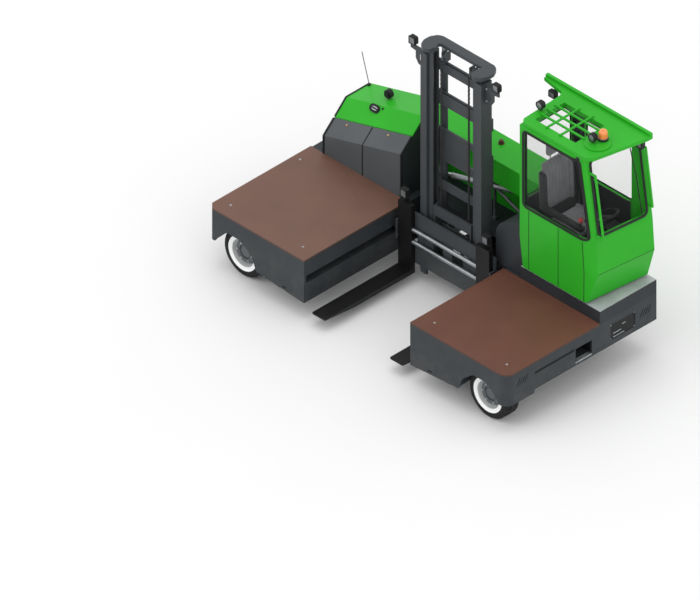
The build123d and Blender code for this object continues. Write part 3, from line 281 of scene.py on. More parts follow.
# Wheels: press-on rubber bands with a grooved tread on white steel rims, with a grey hub and six nuts.
# The rubber is matt and chalky in patches. The knuckles that carry them are cast and sprayed.
TYRE_R = 0.2665
WHEELS = {"left": (-1.685, -0.826), "right": (1.685, -0.826), "rear": (0.0, 0.72)}
TREAD = [                       # radius, across
    (0.170, -0.086), (0.187, -0.0955), (0.193, -0.0962), (0.2205, -0.0995),
    (0.226, -0.0985), (0.228, -0.0955), (0.252, -0.088), (0.2655, -0.070),
    (0.2655, -0.034), (0.2585, -0.033), (0.2585, -0.027), (0.2665, -0.026),
    (0.2665, 0.026), (0.2585, 0.027), (0.2585, 0.033), (0.2655, 0.034),
    (0.2655, 0.070), (0.252, 0.088), (0.228, 0.0955), (0.226, 0.0985),
    (0.2205, 0.0995), (0.193, 0.0962), (0.187, 0.0955), (0.170, 0.086),
]
WHITE_R = 0.193                 # the rim's white flange ends here
HUB_R = (0.125, 0.16)           # the grey hub turns to white between these
ROUND = 96                      # steps in one turn of the tread
GROOVE = 0.006                  # depth of the cross grooves
GROOVE_EDGE = 0.0016
NUTS = 6
NUT_CIRCLE = 0.098
NUT_FACE = 0.0615               # from the wheel's middle out to the nuts
tyre_rubber, shader, spot = start_finish("tyre_rubber", Specular_IOR_Level=0.35)
chalk = cloud(spot, 7.0, 8.0, 0.7)
grain = cloud(spot, 230.0, 3.0)
skin = mix(rise(chalk, 0.5, 0.78) * 0.4, tint(24, 24, 25), tint(70, 66, 60))
feed(shader, Base_Color=skin, Roughness=0.72 + 0.2 * grain, Normal=bumped(grain + chalk, 0.25, 0.0012))


def turned(mesh, profile, centre, steps, axis=(0, 1, 0), start=(1, 0, 0), closed=True):
    axis, start = Vector(axis), Vector(start)
    row = [mesh.verts.new(Vector(centre) + start * radius + axis * across) for radius, across in profile]
    edges = [mesh.edges.new(pair) for pair in zip(row, row[1:])]
    if closed:
        edges.append(mesh.edges.new((row[-1], row[0])))
    bmesh.ops.spin(mesh, geom=row + edges, cent=Vector(centre), axis=axis, angle=math.tau, steps=steps,
                   use_merge=True)
    bmesh.ops.remove_doubles(mesh, verts=mesh.verts[:], dist=WELD)


for name, (x, y) in WHEELS.items():
    rim_paint, shader, spot = start_finish("rim_paint_" + name, Coat_Weight=0.25)
    middle = spot.node("ShaderNodeVectorMath", {"operation": "MULTIPLY"}, {0: spot, 1: (1.0, 0.0, 1.0)})
    hub = {0: middle, 1: (x, 0.0, TYRE_R)}
    reach = spot.node("ShaderNodeVectorMath", {"operation": "DISTANCE"}, hub, 1)
    mud = rise(cloud(spot, 16.0, 7.0, 0.65), 0.5, 0.8)
    base = mix(rise(reach, *HUB_R), tint(72, 78, 81), tint(250, 251, 251))
    base = mix(mud * 0.1, base, DUST)
    feed(shader, Base_Color=base, Roughness=0.32 + 0.3 * mud,
         Normal=bumped(cloud(spot, 300.0), 0.06, 0.0006))
    dress(rim_paint, "rim_" + name)
    band = bmesh.new()
    turned(band, TREAD, (x, y, TYRE_R), ROUND)
    bmesh.ops.recalc_face_normals(band, faces=band.faces[:])
    grooves = []
    for face in band.faces:
        at = face.calc_center_median() - Vector((x, y, TYRE_R))
        radius = math.hypot(at.x, at.z)
        face.material_index = 1 if radius < WHITE_R else 0
        place = round(math.atan2(at.z, at.x) / math.tau * ROUND - 0.5) % 4
        if 0.04 < abs(at.y) < 0.08 and radius > 0.25 and place == (0 if at.y < 0 else 2):
            grooves.append(face)
    bmesh.ops.inset_individual(band, faces=grooves, thickness=GROOVE_EDGE, use_even_offset=True)
    for face in grooves:
        inward = (Vector((x, 0, TYRE_R)) - face.calc_center_median() * Vector((1, 0, 1))).normalized()
        bmesh.ops.translate(band, verts=face.verts[:], vec=inward * GROOVE)
    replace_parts(add_piece("tyre_band_" + name, band, [tyre_rubber, rim_paint], "wheel_" + name, 32),
                "tyre_" + name)
    nuts = bmesh.new()
    for k in range(NUTS):
        turn = math.tau * k / NUTS
        nut = Vector((x + NUT_CIRCLE * math.cos(turn), y - NUT_FACE, TYRE_R + NUT_CIRCLE * math.sin(turn)))
        lay = Matrix.Translation(nut) @ Matrix.Rotation(math.radians(90), 4, "X")
        made = bmesh.ops.create_cone(nuts, cap_ends=True, segments=6, radius1=0.0125, radius2=0.0115,
                                     depth=0.016, matrix=lay)["verts"]
        soften(nuts, edges_of(made), 0.001)
        bmesh.ops.create_cone(nuts, cap_ends=True, segments=12, radius1=0.0062, radius2=0.0055, depth=0.026,
                              matrix=lay)
    add_piece("wheel_nuts_" + name, nuts, [zinc_plate], "wheel_" + name, 30)
dress(frame_grey, "knuckle_left", "knuckle_right", "knuckle_rear")


# Load decks: 18 mm film-faced plywood, brown, with a fine mesh pressed into the top and dark plies at the
# edge. Countersunk bolts hold the sheets down. The five heads here are the ones that the photograph shows.
PLIES = 333.0                   # pairs of a dark and a paler ply in one metre
DECK_TOP = 0.712
BOLTS = [(-1.897, -0.870), (-0.905, -0.870), (-1.965, 0.150), (0.905, -0.870), (1.897, -0.870)]
BOLT_HEAD = [(0.0005, 0.002), (0.005, 0.002), (0.006, 0.0005), (0.011, 0.0008), (0.0125, 0.0004)]


def faced_ply(name, film):
    made, shader, spot = start_finish(name, Specular_IOR_Level=0.4)
    up = along_axis(spot.node("ShaderNodeNewGeometry", None, None, 1), 2)
    weave = []
    for turn in (45.0, -45.0):
        diagonal = (0.0, 0.0, math.radians(turn))
        lay = spot.node("ShaderNodeMapping", None, {"Vector": spot, "Rotation": diagonal})
        weave.append(lay.node("ShaderNodeTexWave", {"wave_profile": "SIN"}, {"Vector": lay, "Scale": 46.0}))
    mesh = weave[0] + weave[1]
    worn = cloud(spot, 2.3, 7.0, 0.62)
    streak = cloud(spot, 5.0, 8.0, 0.7, (1.0, 6.0, 1.0))
    scrape = rise(cloud(spot, 11.0, 10.0, 0.75, (1.0, 0.12, 1.0)), 0.64, 0.7)
    top = mix(rise(worn, 0.35, 0.7), darker(film, 0.9), darker(film, 1.1))
    top = mix(rise(streak, 0.5, 0.8) * 0.3, top, darker(film, 0.75))
    top = mix(scrape * 0.22, top, tint(150, 122, 104))
    layer = spot.node("ShaderNodeMath", {"operation": "FRACT"}, {0: along_axis(spot, 2) * PLIES})
    edge = mix(rise(layer, 0.45, 0.55), darker(film, 0.45), darker(film, 0.75))
    face_up = rise(up, 0.5, 0.8)
    feed(shader, Base_Color=mix(face_up, edge, top), Roughness=0.46 + 0.2 * worn + 0.1 * scrape,
         Normal=bumped(0.35 * mesh + streak, 0.16, 0.0008))
    return made


dress(faced_ply("deck_film_left", tint(106, 75, 63)), "deck_left")
dress(faced_ply("deck_film_right", tint(99, 61, 47)), "deck_right")
bolts = bmesh.new()
for x, y in BOLTS:
    turned(bolts, BOLT_HEAD, (x, y, DECK_TOP), 16, (0, 0, 1), (1, 0, 0), False)
bmesh.ops.recalc_face_normals(bolts, faces=bolts.faces[:])
add_piece("deck_bolts", bolts, [zinc_plate], "chassis", 40)


# Engine hood: dark side panels of folded sheet, a gloss green lid hinged at the back, and the engine inside.
# Black seals edge the ends and the joint between the panels. Latches, a handle and a lamp are screwed on.
GREEN = tint(45, 168, 38)
GREEN_ROUGH = 0.34
GLOSS = {"dust": 0.03, "rub": 0.02, "Specular_IOR_Level": 0.12, "Coat_Weight": 0.06, "Coat_Roughness": 0.1}
panel_grey = sprayed("panel_grey", tint(80, 84, 87), 0.42, dust=0.15, rub=0.12, Specular_IOR_Level=0.25)
dress(panel_grey, "engine_panel_outer", "engine_panel_inner")
gloss_green = sprayed("gloss_green", GREEN, GREEN_ROUGH, **GLOSS)
dress(gloss_green, "hood_lid")
cast_iron = sprayed("cast_iron", tint(70, 70, 72), 0.62, dust=0.3, rub=0.3)
dress(cast_iron, "engine")
dress(moulded_black, "antenna", "hood_lamp")


def bead(mesh, points, radius, sides=8, closed=False):
    loops = []
    count = len(points)
    for k, point in enumerate(points):
        before = points[k - 1] if closed or k else point
        after = points[(k + 1) % count] if closed or k < count - 1 else point
        turn = (Vector(after) - Vector(before)).to_track_quat("Z", "Y").to_matrix().to_4x4()
        place = Matrix.Translation(point) @ turn
        ring = bmesh.ops.create_circle(mesh, segments=sides, radius=radius, matrix=place)
        loops.append(edges_of(ring["verts"]))
    for first, second in zip(loops, loops[1:] + (loops[:1] if closed else [])):
        bmesh.ops.bridge_loops(mesh, edges=first + second)
    if not closed:
        for loop in (loops[0], loops[-1]):
            bmesh.ops.edgeloop_fill(mesh, edges=loop)
    bmesh.ops.recalc_face_normals(mesh, faces=mesh.faces[:])


HOOD_X = (-1.881, -0.811)       # the panels' outer and inner end
BEND_Z = 0.919                  # where the panels bend at the outer end
BEND_RISE = 0.309               # and how much higher at the inner end
END_INSET = 0.003
PANEL_FACE = 0.388


def hood_bend(x):
    return BEND_Z + BEND_RISE * (x - HOOD_X[0]) / (HOOD_X[1] - HOOD_X[0])


outer_end = HOOD_X[0] + END_INSET
inner_end = HOOD_X[1] - END_INSET
panel_seals = bmesh.new()
for x, radius in ((outer_end, 0.013), ((HOOD_X[0] + HOOD_X[1]) / 2, 0.007), (inner_end, 0.011)):
    low = hood_bend(x)
    bead(panel_seals, [(x, PANEL_FACE, 0.715), (x, PANEL_FACE, low), (x, 0.5305, low + 0.14)], radius)
add_piece("panel_seals", panel_seals, [moulded_black], "chassis", 40)
low = hood_bend(HOOD_X[0])
lid_seal = bmesh.new()
lid_edge = [(0.544, low + 0.15), (0.698, low + 0.303), (1.02, low + 0.303)]
bead(lid_seal, [(outer_end, y, z) for y, z in lid_edge], 0.013)
add_piece("lid_end_seal", lid_seal, [moulded_black], "hood_lid", 40)
brass, shader, spot = start_finish("brass", Metallic=0.5)
tarnish = cloud(spot, 60.0, 5.0)
feed(shader, Base_Color=mix(tarnish, tint(182, 156, 124), tint(136, 112, 92)),
     Roughness=0.35 + 0.25 * tarnish)
LATCH_X = (-1.670, -1.102)
LATCH = [(0.0005, 0.011), (0.009, 0.011), (0.013, 0.007), (0.016, 0.0), (0.016, -0.006)]
latches = bmesh.new()
for x in LATCH_X:
    foot = Vector((x, 0.5, hood_bend(x) + 0.11))
    out = Vector((0.2, -0.7, 0.72)).normalized()
    turned(latches, LATCH, foot, 20, out, out.orthogonal().normalized(), False)
bmesh.ops.recalc_face_normals(latches, faces=latches.faces[:])
add_piece("panel_latches", latches, [brass], "chassis", 40)
SLOPE = Matrix.Translation((-1.4423, 0.6496, 1.3327)) @ Matrix.Rotation(math.radians(45), 4, "X")
HALF_RING = (0.05, 0.027)
RING_STEPS = 24
HALF_GRIP = Vector((0.05, 0.005, 0.005))
LOCK = [(0.0005, 0.008), (0.009, 0.008), (0.012, 0.004), (0.012, -0.004)]
handle = bmesh.new()
turns = [math.tau * k / RING_STEPS for k in range(RING_STEPS)]
ring = [SLOPE @ Vector((HALF_RING[0] * math.cos(turn), HALF_RING[1] * math.sin(turn), 0.003))
        for turn in turns]
bead(handle, ring, 0.0065, 8, True)
flat = SLOPE @ Matrix.Translation((0, 0, 0.001)) @ Matrix.Diagonal((0.047, 0.024, 1, 1))
dish = bmesh.ops.create_circle(handle, cap_ends=True, segments=RING_STEPS, radius=1.0, matrix=flat)
for face in faces_of(dish["verts"]):
    face.material_index = 1
grip = SLOPE @ Vector((0.0, 0.0, 0.006))
add_block(handle, grip - HALF_GRIP, grip + HALF_GRIP, 0.002)
turned(handle, LOCK, (-1.352, 0.676, 1.357), 16, (0, -0.7071, 0.7071), (1, 0, 0), False)
add_piece("lid_handle", handle, [moulded_black, zinc_plate], "hood_lid", 40)


# Work lamps: round black housings with a ribbed smoky lens in a black bezel, and square ones on the mast,
# on the forks and under the cab's eaves. Each stands on a stalk or plate that is bolted down.
lens_clear, shader, spot = start_finish("lens_clear", Coat_Weight=0.8, Coat_Roughness=0.03,
                                        Specular_IOR_Level=0.6)
flute = spot.node("ShaderNodeTexWave", {"bands_direction": "X"}, {"Vector": spot, "Scale": 55.0})
glow = cloud(spot, 30.0, 2.0)
feed(shader, Base_Color=mix(glow, tint(78, 82, 85), tint(126, 131, 134)), Roughness=0.14 + 0.1 * flute,
     Normal=bumped(flute, 0.4, 0.0015))
ROUND_LAMPS = [                 # name, body, front of the housing, which way it faces along Y
    ("hood", "hood_lid", (-1.4423, 0.8695, 1.4076), 1),
    ("roof_left", "chassis", (0.978, 0.494, 2.652), -1),
    ("roof_right", "chassis", (1.727, 0.463, 2.656), -1),
]
LENS = [(0.0004, 0.009), (0.016, 0.008), (0.028, 0.005), (0.037, 0.0005)]
BEZEL = [(0.036, 0.0), (0.037, 0.006), (0.041, 0.0075), (0.0455, 0.004), (0.0455, 0.0)]
for name, body, front, aim in ROUND_LAMPS:
    glass = bmesh.new()
    turned(glass, LENS, front, 32, (0, aim, 0), (1, 0, 0), False)
    bmesh.ops.recalc_face_normals(glass, faces=glass.faces[:])
    add_piece("lens_" + name, glass, [lens_clear], body, 40)
    ring = bmesh.new()
    turned(ring, BEZEL, front, 32, (0, aim, 0))
    bmesh.ops.recalc_face_normals(ring, faces=ring.faces[:])
    add_piece("bezel_" + name, ring, [moulded_black], body, 35)
SQUARE_LAMPS = [                # name, body, middle of the front, half its height
    ("fork_left", "fork_frame", (-0.560, 0.164, 1.002), 0.046),
    ("fork_right", "fork_frame", (0.560, 0.164, 1.002), 0.046),
    ("mast_left", "mast", (-0.573, 0.296, 2.75), 0.044),
    ("mast_right", "mast", (0.573, 0.296, 2.75), 0.044),
    ("eave_left", "chassis", (0.782, 0.862, 2.499), 0.035),
    ("eave_right", "chassis", (1.978, 0.862, 2.499), 0.035),
]
PANE = 0.034                    # half the lens's width
PANE_INSET = 0.008
RIB_INSET = 0.012
RIM_OUT = 0.042                 # half the surround's width, outside and inside
RIM_IN = 0.033
RIM_BAR = 0.009
for name, body, (x, y, z), half in SQUARE_LAMPS:
    pane = bmesh.new()
    add_block(pane, (x - PANE, y - 0.005, z - half + PANE_INSET),
              (x + PANE, y + 0.001, z + half - PANE_INSET), 0.004)
    for k in range(5):
        rib = x - 0.026 + 0.013 * k
        add_block(pane, (rib - 0.001, y - 0.0065, z - half + RIB_INSET),
                  (rib + 0.001, y - 0.004, z + half - RIB_INSET))
    add_piece("lens_" + name, pane, [lens_clear], body, 30)
    rim = bmesh.new()
    for low, high in (((x - RIM_OUT, z - half), (x + RIM_OUT, z - half + RIM_BAR)),
                      ((x - RIM_OUT, z + half - RIM_BAR), (x + RIM_OUT, z + half)),
                      ((x - RIM_OUT, z - half), (x - RIM_IN, z + half)),
                      ((x + RIM_IN, z - half), (x + RIM_OUT, z + half))):
        add_block(rim, (low[0], y - 0.008, low[1]), (high[0], y + 0.0005, high[1]), 0.0015)
    add_piece("surround_" + name, rim, [moulded_black], body)
dress(moulded_black, "mast_lamps", "fork_lamps", "lamp_roof")


# Rear cover, oil tank and oil pipe: green folded sheet behind the mast, screwed on from the back, with a
# filler cap on top, a grey welded tank on the frame beside the cab, and a plated steel pipe between them.
dress(gloss_green, "rear_cover")
tank_grey = sprayed("tank_grey", tint(50, 54, 58), 0.45, dust=0.12, rub=0.15, Specular_IOR_Level=0.2)
dress(tank_grey, "oil_tank")
plated, shader, spot = start_finish("plated_steel", Metallic=0.9)
brushed = cloud(spot, 18.0, 6.0, 0.6, (1.0, 1.0, 8.0))
oily = cloud(spot, 4.0, 5.0, 0.6)
feed(shader, Base_Color=mix(rise(oily, 0.4, 0.75), tint(168, 172, 175), tint(120, 124, 127)),
     Roughness=0.28 + 0.2 * brushed, Normal=bumped(brushed, 0.08, 0.0005))
dress(plated, "oil_pipe", "reach_barrel")
cap_brown, shader, spot = start_finish("cap_brown")
fade = cloud(spot, 25.0, 4.0)
feed(shader, Base_Color=mix(fade, tint(84, 36, 26), tint(52, 26, 21)), Roughness=0.45 + 0.2 * fade)
CAP = [(0.0005, 0.04), (0.018, 0.04), (0.023, 0.036), (0.024, 0.01), (0.032, 0.008), (0.032, 0.0)]
cap = bmesh.new()
turned(cap, CAP, (0.044, 0.908, 1.528), 28, (0, 0, 1), (1, 0, 0), False)
bmesh.ops.recalc_face_normals(cap, faces=cap.faces[:])
add_piece("filler_cap", cap, [cap_brown], "chassis", 35)
BACK_FACE = 1.0295
LOW_ROW = 0.735                 # height of the lower rows of screws
SCREWS = [(-0.74 + 0.2725 * k, LOW_ROW) for k in range(7)]
SCREWS += [(x, z) for x in (-0.775, 0.925) for z in (0.90, 1.07, 1.24)]
SCREWS += [(-1.83 + 0.245 * k, LOW_ROW) for k in range(5)]
SCREW_HEAD = [(0.0005, 0.0018), (0.0055, 0.0016), (0.0088, 0.0008), (0.01, -0.0004)]
screws = bmesh.new()
for x, z in SCREWS:
    turned(screws, SCREW_HEAD, (x, BACK_FACE, z), 16, (0, 1, 0), (1, 0, 0), False)
bmesh.ops.recalc_face_normals(screws, faces=screws.faces[:])
add_piece("cover_screws", screws, [zinc_plate], "chassis", 40)


# Mast: channel rails rolled from steel, an inner pair that slides in the outer, lift cylinders with chromed
# rods behind, and two leaf chains. The reach arms carry it along rails in the side frames.
mast_grey = sprayed("mast_grey", tint(64, 68, 71), 0.44, dust=0.1, rub=0.3, Specular_IOR_Level=0.25)
dress(mast_grey, "mast_outer", "mast_inner", "lift_carriage", "lift_barrels")
dress(mast_grey, "reach_arm_left", "reach_arm_right")
chromed, shader, spot = start_finish("chromed_rod", Metallic=0.8)
film = cloud(spot, 9.0, 5.0, 0.6)
feed(shader, Base_Color=mix(film, tint(206, 209, 212), tint(176, 180, 184)), Roughness=0.24 + 0.14 * film)
dress(chromed, "lift_rods", "reach_rod")
chain_steel, shader, spot = start_finish("chain_steel", Metallic=0.3)
grease = cloud(spot, 34.0, 6.0, 0.65)
feed(shader, Base_Color=mix(grease, tint(66, 67, 69), tint(40, 40, 41)), Roughness=0.34 + 0.3 * grease)
BRACKET_X = 0.44
BRACKET_FACE = 0.3085
HEAD_R = 0.011
heads = bmesh.new()
for side in (-1, 1):
    for z in (2.53, 2.672):
        head = (side * BRACKET_X, BRACKET_FACE, z)
        lay = Matrix.Translation(head) @ Matrix.Rotation(math.radians(90), 4, "X")
        made = bmesh.ops.create_cone(heads, cap_ends=True, segments=6, radius1=HEAD_R, radius2=HEAD_R,
                                     depth=0.008, matrix=lay)
        soften(heads, edges_of(made["verts"]), 0.001)
add_piece("bracket_bolts", heads, [zinc_plate], "mast", 30)
CHAIN_X = 0.19
CHAIN_FOOT = 0.745
CHAIN_TOP = 2.69
PITCH = 0.0254
LINK = PITCH * 1.28             # length of one link plate, which overlaps the next
HALF_PLATE = 0.0012
links = bmesh.new()
for side in (-1, 1):
    for k in range(int((CHAIN_TOP - CHAIN_FOOT) / PITCH)):
        z = CHAIN_FOOT + PITCH * k
        for across in ((-0.010, -0.004, 0.002, 0.008) if k % 2 else (-0.007, -0.001, 0.005, 0.011)):
            x = side * CHAIN_X + across - 0.0005
            add_block(links, (x - HALF_PLATE, 0.3115, z), (x + HALF_PLATE, 0.3195, z + LINK))
lift_chain = add_piece("leaf_chains", links, [chain_steel], "mast_inner")
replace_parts(lift_chain, "lift_chains")
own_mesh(lift_chain)


# Fork frame and forks: a welded plate frame with two plated cross rods, and forged forks sprayed black that
# slide along them. The blades are scratched along their length, most of all towards their tips.
dress(mast_grey, "fork_frame")
dress(plated, "fork_rods")
TIP_Y = (-0.75, -1.03)          # wear grows from here to the tip
fork_black, shader, spot = start_finish("fork_black", Specular_IOR_Level=0.3)
scratch = cloud(spot, 14.0, 10.0, 0.75, (3.0, 0.3, 1.0))
tip = rise(along_axis(spot, 1), *TIP_Y)
bare = rise(scratch + 0.16 * tip, 0.6, 0.72)
mill = cloud(spot, 120.0, 4.0)
feed(shader, Base_Color=mix(bare * 0.4, tint(15, 15, 16), tint(74, 72, 70)), Roughness=0.42 + 0.18 * mill,
     Metallic=bare * 0.6, Normal=bumped(mill + scratch, 0.12, 0.0008))
dress(fork_black, "fork_left", "fork_right")


# Cab: welded green sheet on a grey plinth, lower panels below the sill and pillars above it. Its inner faces
# are dark grey, partly dark trim and partly painted shade inside the cab. The plinth's free top is bright
# plate.
# The door is hinged on the back wall.
CAB_INSIDE = ((0.975, 0.262, 0.885), (1.75, 0.985, 2.53))
plinth_grey = sprayed("plinth_grey", tint(44, 48, 52), 0.45, dust=0.15, rub=0.2, Specular_IOR_Level=0.2)
dress(plinth_grey, "cab_plinth")
# Its faces inside CAB_INSIDE are painted dark grey: dark trim, and painted shade inside the cab.
cab_green = sprayed("cab_green", GREEN, GREEN_ROUGH, trim_and_shade_box=CAB_INSIDE, **GLOSS)
dress(cab_green, "cab_lower", "cab_upper", "door")
dress(gloss_green, "roof", "roof_guard", "grab_rail")
brushed_plate, shader, spot = start_finish("brushed_plate", Metallic=0.15, Specular_IOR_Level=0.3)
brush = cloud(spot, 30.0, 6.0, 0.6, (0.1, 3.0, 1.0))
tread = cloud(spot, 4.0, 5.0, 0.6)
feed(shader, Base_Color=mix(rise(tread, 0.35, 0.7), tint(166, 166, 172), tint(188, 188, 194)),
     Roughness=0.5 + 0.2 * brush, Normal=bumped(brush, 0.08, 0.0006))
ledge = bmesh.new()
add_block(ledge, (0.960, 0.2585, 0.8492), (2.0515, 1.030, 0.8505), 0.0005)
add_piece("plinth_plate", ledge, [brushed_plate], "chassis")


# Panel seams of the cab: joints down the front panels and the slanted corner, and along the crease on the
# right. They are sealed with a thin bead of dark mastic.
CAB_Y0 = 0.242                  # the cab's front
CAB_DEEP = 0.77
FLARE = 0.078                   # how much farther out the right side is at the back
CORNER = (0.128, 0.065)         # the slanted corner, along X and along Y
CORNER_Y = 0.307
SEAM_Y = 0.2425
SEAM_Z = (0.876, 1.574)         # the front seams' lower and upper end
SEAM_R = 0.0036


def crease(y):
    return 1.968 + FLARE * (y - CAB_Y0) / CAB_DEEP


seams = bmesh.new()
bead(seams, [(crease(y), y, 1.2185) for y in (0.31, 0.66, 1.008)], 0.0024, 6)
corner_seam = [(1.8216, SEAM_Z[1]), (crease(CORNER_Y) - CORNER[0], 1.218), (1.8426, SEAM_Z[0])]
bead(seams, [(x, SEAM_Y, z) for x, z in corner_seam], SEAM_R, 6)
for x in (1.0863, 1.4904):
    bead(seams, [(x, SEAM_Y, z) for z in SEAM_Z], SEAM_R, 6)
add_piece("panel_seams", seams, [moulded_black], "chassis", 40)


# Windows: glass, lightly tinted in the front and nearly clear in the sides, the door and the roof.
# The panes are held by black moulded seals with rounded corners, pushed over the edges of the openings.
# The front pane's seal follows the slanted corner.
for name, least, panes in (("tinted_glass", 0.08, ("glass_front",)),
                           ("clear_glass", 0.02, ("glass_side", "glass_left", "glass_door", "glass_roof"))):
    glazing, shader, spot = start_finish(name, Roughness=0.03, IOR=1.45, Specular_IOR_Level=0.6)
    wipe = cloud(spot, 2.0, 4.0)
    feed(shader, Base_Color=mix(wipe, tint(34, 40, 40), tint(44, 50, 50)), Alpha=least + 0.05 * wipe)
    dress(glazing, *panes)
SILL_Z = 1.575
UPPER = 0.973                   # height of the upper cab, over which its right side leans in
LEAN_IN = 0.142
SEAL_WIDTH = 0.026
SEAL_PROUD = 0.006


def cab_right(z, y):
    return 1.942 - LEAN_IN * (z - SILL_Z) / UPPER + FLARE * (y - CAB_Y0) / CAB_DEEP


def sheet_normal(corners):
    first, second, third = (Vector(corner) for corner in corners[:3])
    return (second - first).cross(third - first).normalized()


def add_seal(name, corners, radius, body, fold=False):
    strip = bmesh.new()
    strip.faces.new([strip.verts.new(corner) for corner in corners])
    bmesh.ops.bevel(strip, geom=strip.verts[:], offset=radius, segments=6, profile=0.5, affect="VERTICES",
                    material=-1)
    if fold:
        bmesh.ops.subdivide_edges(strip, edges=[e for e in strip.edges if e.calc_length() > 0.3], cuts=24)
    bmesh.ops.inset_region(strip, faces=strip.faces[:], thickness=SEAL_WIDTH, use_even_offset=True,
                           use_boundary=True)
    largest = max(strip.faces, key=lambda face: face.calc_area())
    bmesh.ops.delete(strip, geom=[largest], context="FACES")
    made = bmesh.ops.extrude_face_region(strip, geom=strip.faces[:])
    lifted = [part for part in made["geom"] if isinstance(part, bmesh.types.BMVert)]
    bmesh.ops.translate(strip, verts=lifted, vec=sheet_normal(corners) * SEAL_PROUD)
    if fold:
        for vert in strip.verts:
            past = vert.co.x - (cab_right(vert.co.z, CORNER_Y) - CORNER[0])
            vert.co.y += max(0.0, past) * CORNER[1] / CORNER[0]
    bmesh.ops.recalc_face_normals(strip, faces=strip.faces[:])
    add_piece(name, strip, [moulded_black], body, 40)


front_corners = [(1.000, 1.593), (1.905, 1.593), (1.760, 2.512), (1.000, 2.512)]
add_seal("seal_front", [(x, 0.2405, z) for x, z in front_corners], 0.06, "chassis", fold=True)
side_corners = [(0.333, 1.628), (0.967, 1.628), (0.967, 2.502), (0.333, 2.502)]
add_seal("seal_side", [(cab_right(z, y) + 0.0015, y, z) for y, z in side_corners], 0.07, "chassis")
left_corners = [(0.962, 1.628), (0.298, 1.628), (0.298, 2.502), (0.962, 2.502)]
add_seal("seal_left", [(0.9605, y, z) for y, z in left_corners], 0.07, "chassis")
door_corners = [(1.772, 1.628), (1.098, 1.628), (1.098, 2.432), (1.772, 2.432)]
add_seal("seal_door", [(x, 1.0135, z) for x, z in door_corners], 0.07, "door")


# Wiper: a bent black arm from a motor box at the right window's upper edge, with a long blade.
# The arm is a steel rod sprayed black, and it lies a little off the glass.
MOTOR = (0.83, 2.46)
wiper = bmesh.new()
arm = [(0.012, *MOTOR), (0.022, 0.86, 2.1), (0.014, 0.87, 1.86)]
bead(wiper, [(cab_right(z, y) + off, y, z) for off, y, z in arm], 0.0055)
blade = [(0.868, 2.14), (0.885, 1.66)]
bead(wiper, [(cab_right(z, y) + 0.010, y, z) for y, z in blade], 0.006)
motor_x = cab_right(MOTOR[1], MOTOR[0])
add_block(wiper, (motor_x - 0.012, 0.80, 2.44), (motor_x + 0.02, 0.86, 2.485), 0.006)
add_piece("wiper", wiper, [moulded_black], "chassis", 40)


# Beacon: a ribbed amber dome, moulded in plastic, on a black foot.
# It is bolted to the roof, and the colour changes at the foot's upper edge.
FOOT_EDGE = (2.629, 2.631)
amber_lens, shader, spot = start_finish("amber_lens", Coat_Weight=0.6, Coat_Roughness=0.05)
height = along_axis(spot, 2)
ribs = spot.node("ShaderNodeTexWave", {"bands_direction": "Z"}, {"Vector": spot, "Scale": 26.0})
hue = mix(ribs, tint(240, 120, 52), tint(252, 156, 84))
feed(shader, Base_Color=mix(rise(height, *FOOT_EDGE), tint(30, 30, 31), hue), Roughness=0.2 + 0.1 * ribs,
     Normal=bumped(ribs, 0.4, 0.002))
dress(amber_lens, "beacon")


# Seat: foam cushions in grey woven cloth with dark sides, on a black moulded base, and a head rest on two
# chromed posts. The console is moulded in black too, and its control stick has a red knob.
SEAT_MIDDLE = 0.60
PLAIN_HALF = (0.165, 0.185)     # the grey cloth turns dark between these, from the seat's middle
dress(moulded_black, "seat_base", "console")
seat_cloth, shader, spot = start_finish("seat_cloth", Specular_IOR_Level=0.25, Sheen_Weight=0.3)
warp = spot.node("ShaderNodeTexWave", {"bands_direction": "X"}, {"Vector": spot, "Scale": 160.0})
weft = spot.node("ShaderNodeTexWave", {"bands_direction": "Z"}, {"Vector": spot, "Scale": 160.0})
worn = cloud(spot, 7.0, 5.0, 0.6)
stripe = spot.node("ShaderNodeTexWave", {"bands_direction": "Y"}, {"Vector": spot, "Scale": 7.0})
off_middle = along_axis(spot, 1) - SEAT_MIDDLE
side = rise(spot.node("ShaderNodeMath", {"operation": "ABSOLUTE"}, {0: off_middle}), *PLAIN_HALF)
middle = mix(rise(worn, 0.35, 0.7), tint(112, 112, 116), tint(132, 132, 136))
middle = mix(rise(stripe, 0.9, 0.97) * 0.4, middle, tint(70, 69, 72))
feed(shader, Base_Color=mix(side, middle, tint(40, 39, 43)), Roughness=0.85 + 0.1 * worn,
     Normal=bumped(warp * weft, 0.3, 0.001))
VOXEL = 0.012
PRESSURE = 4.0
TICKS = 20                      # frames of cloth simulation


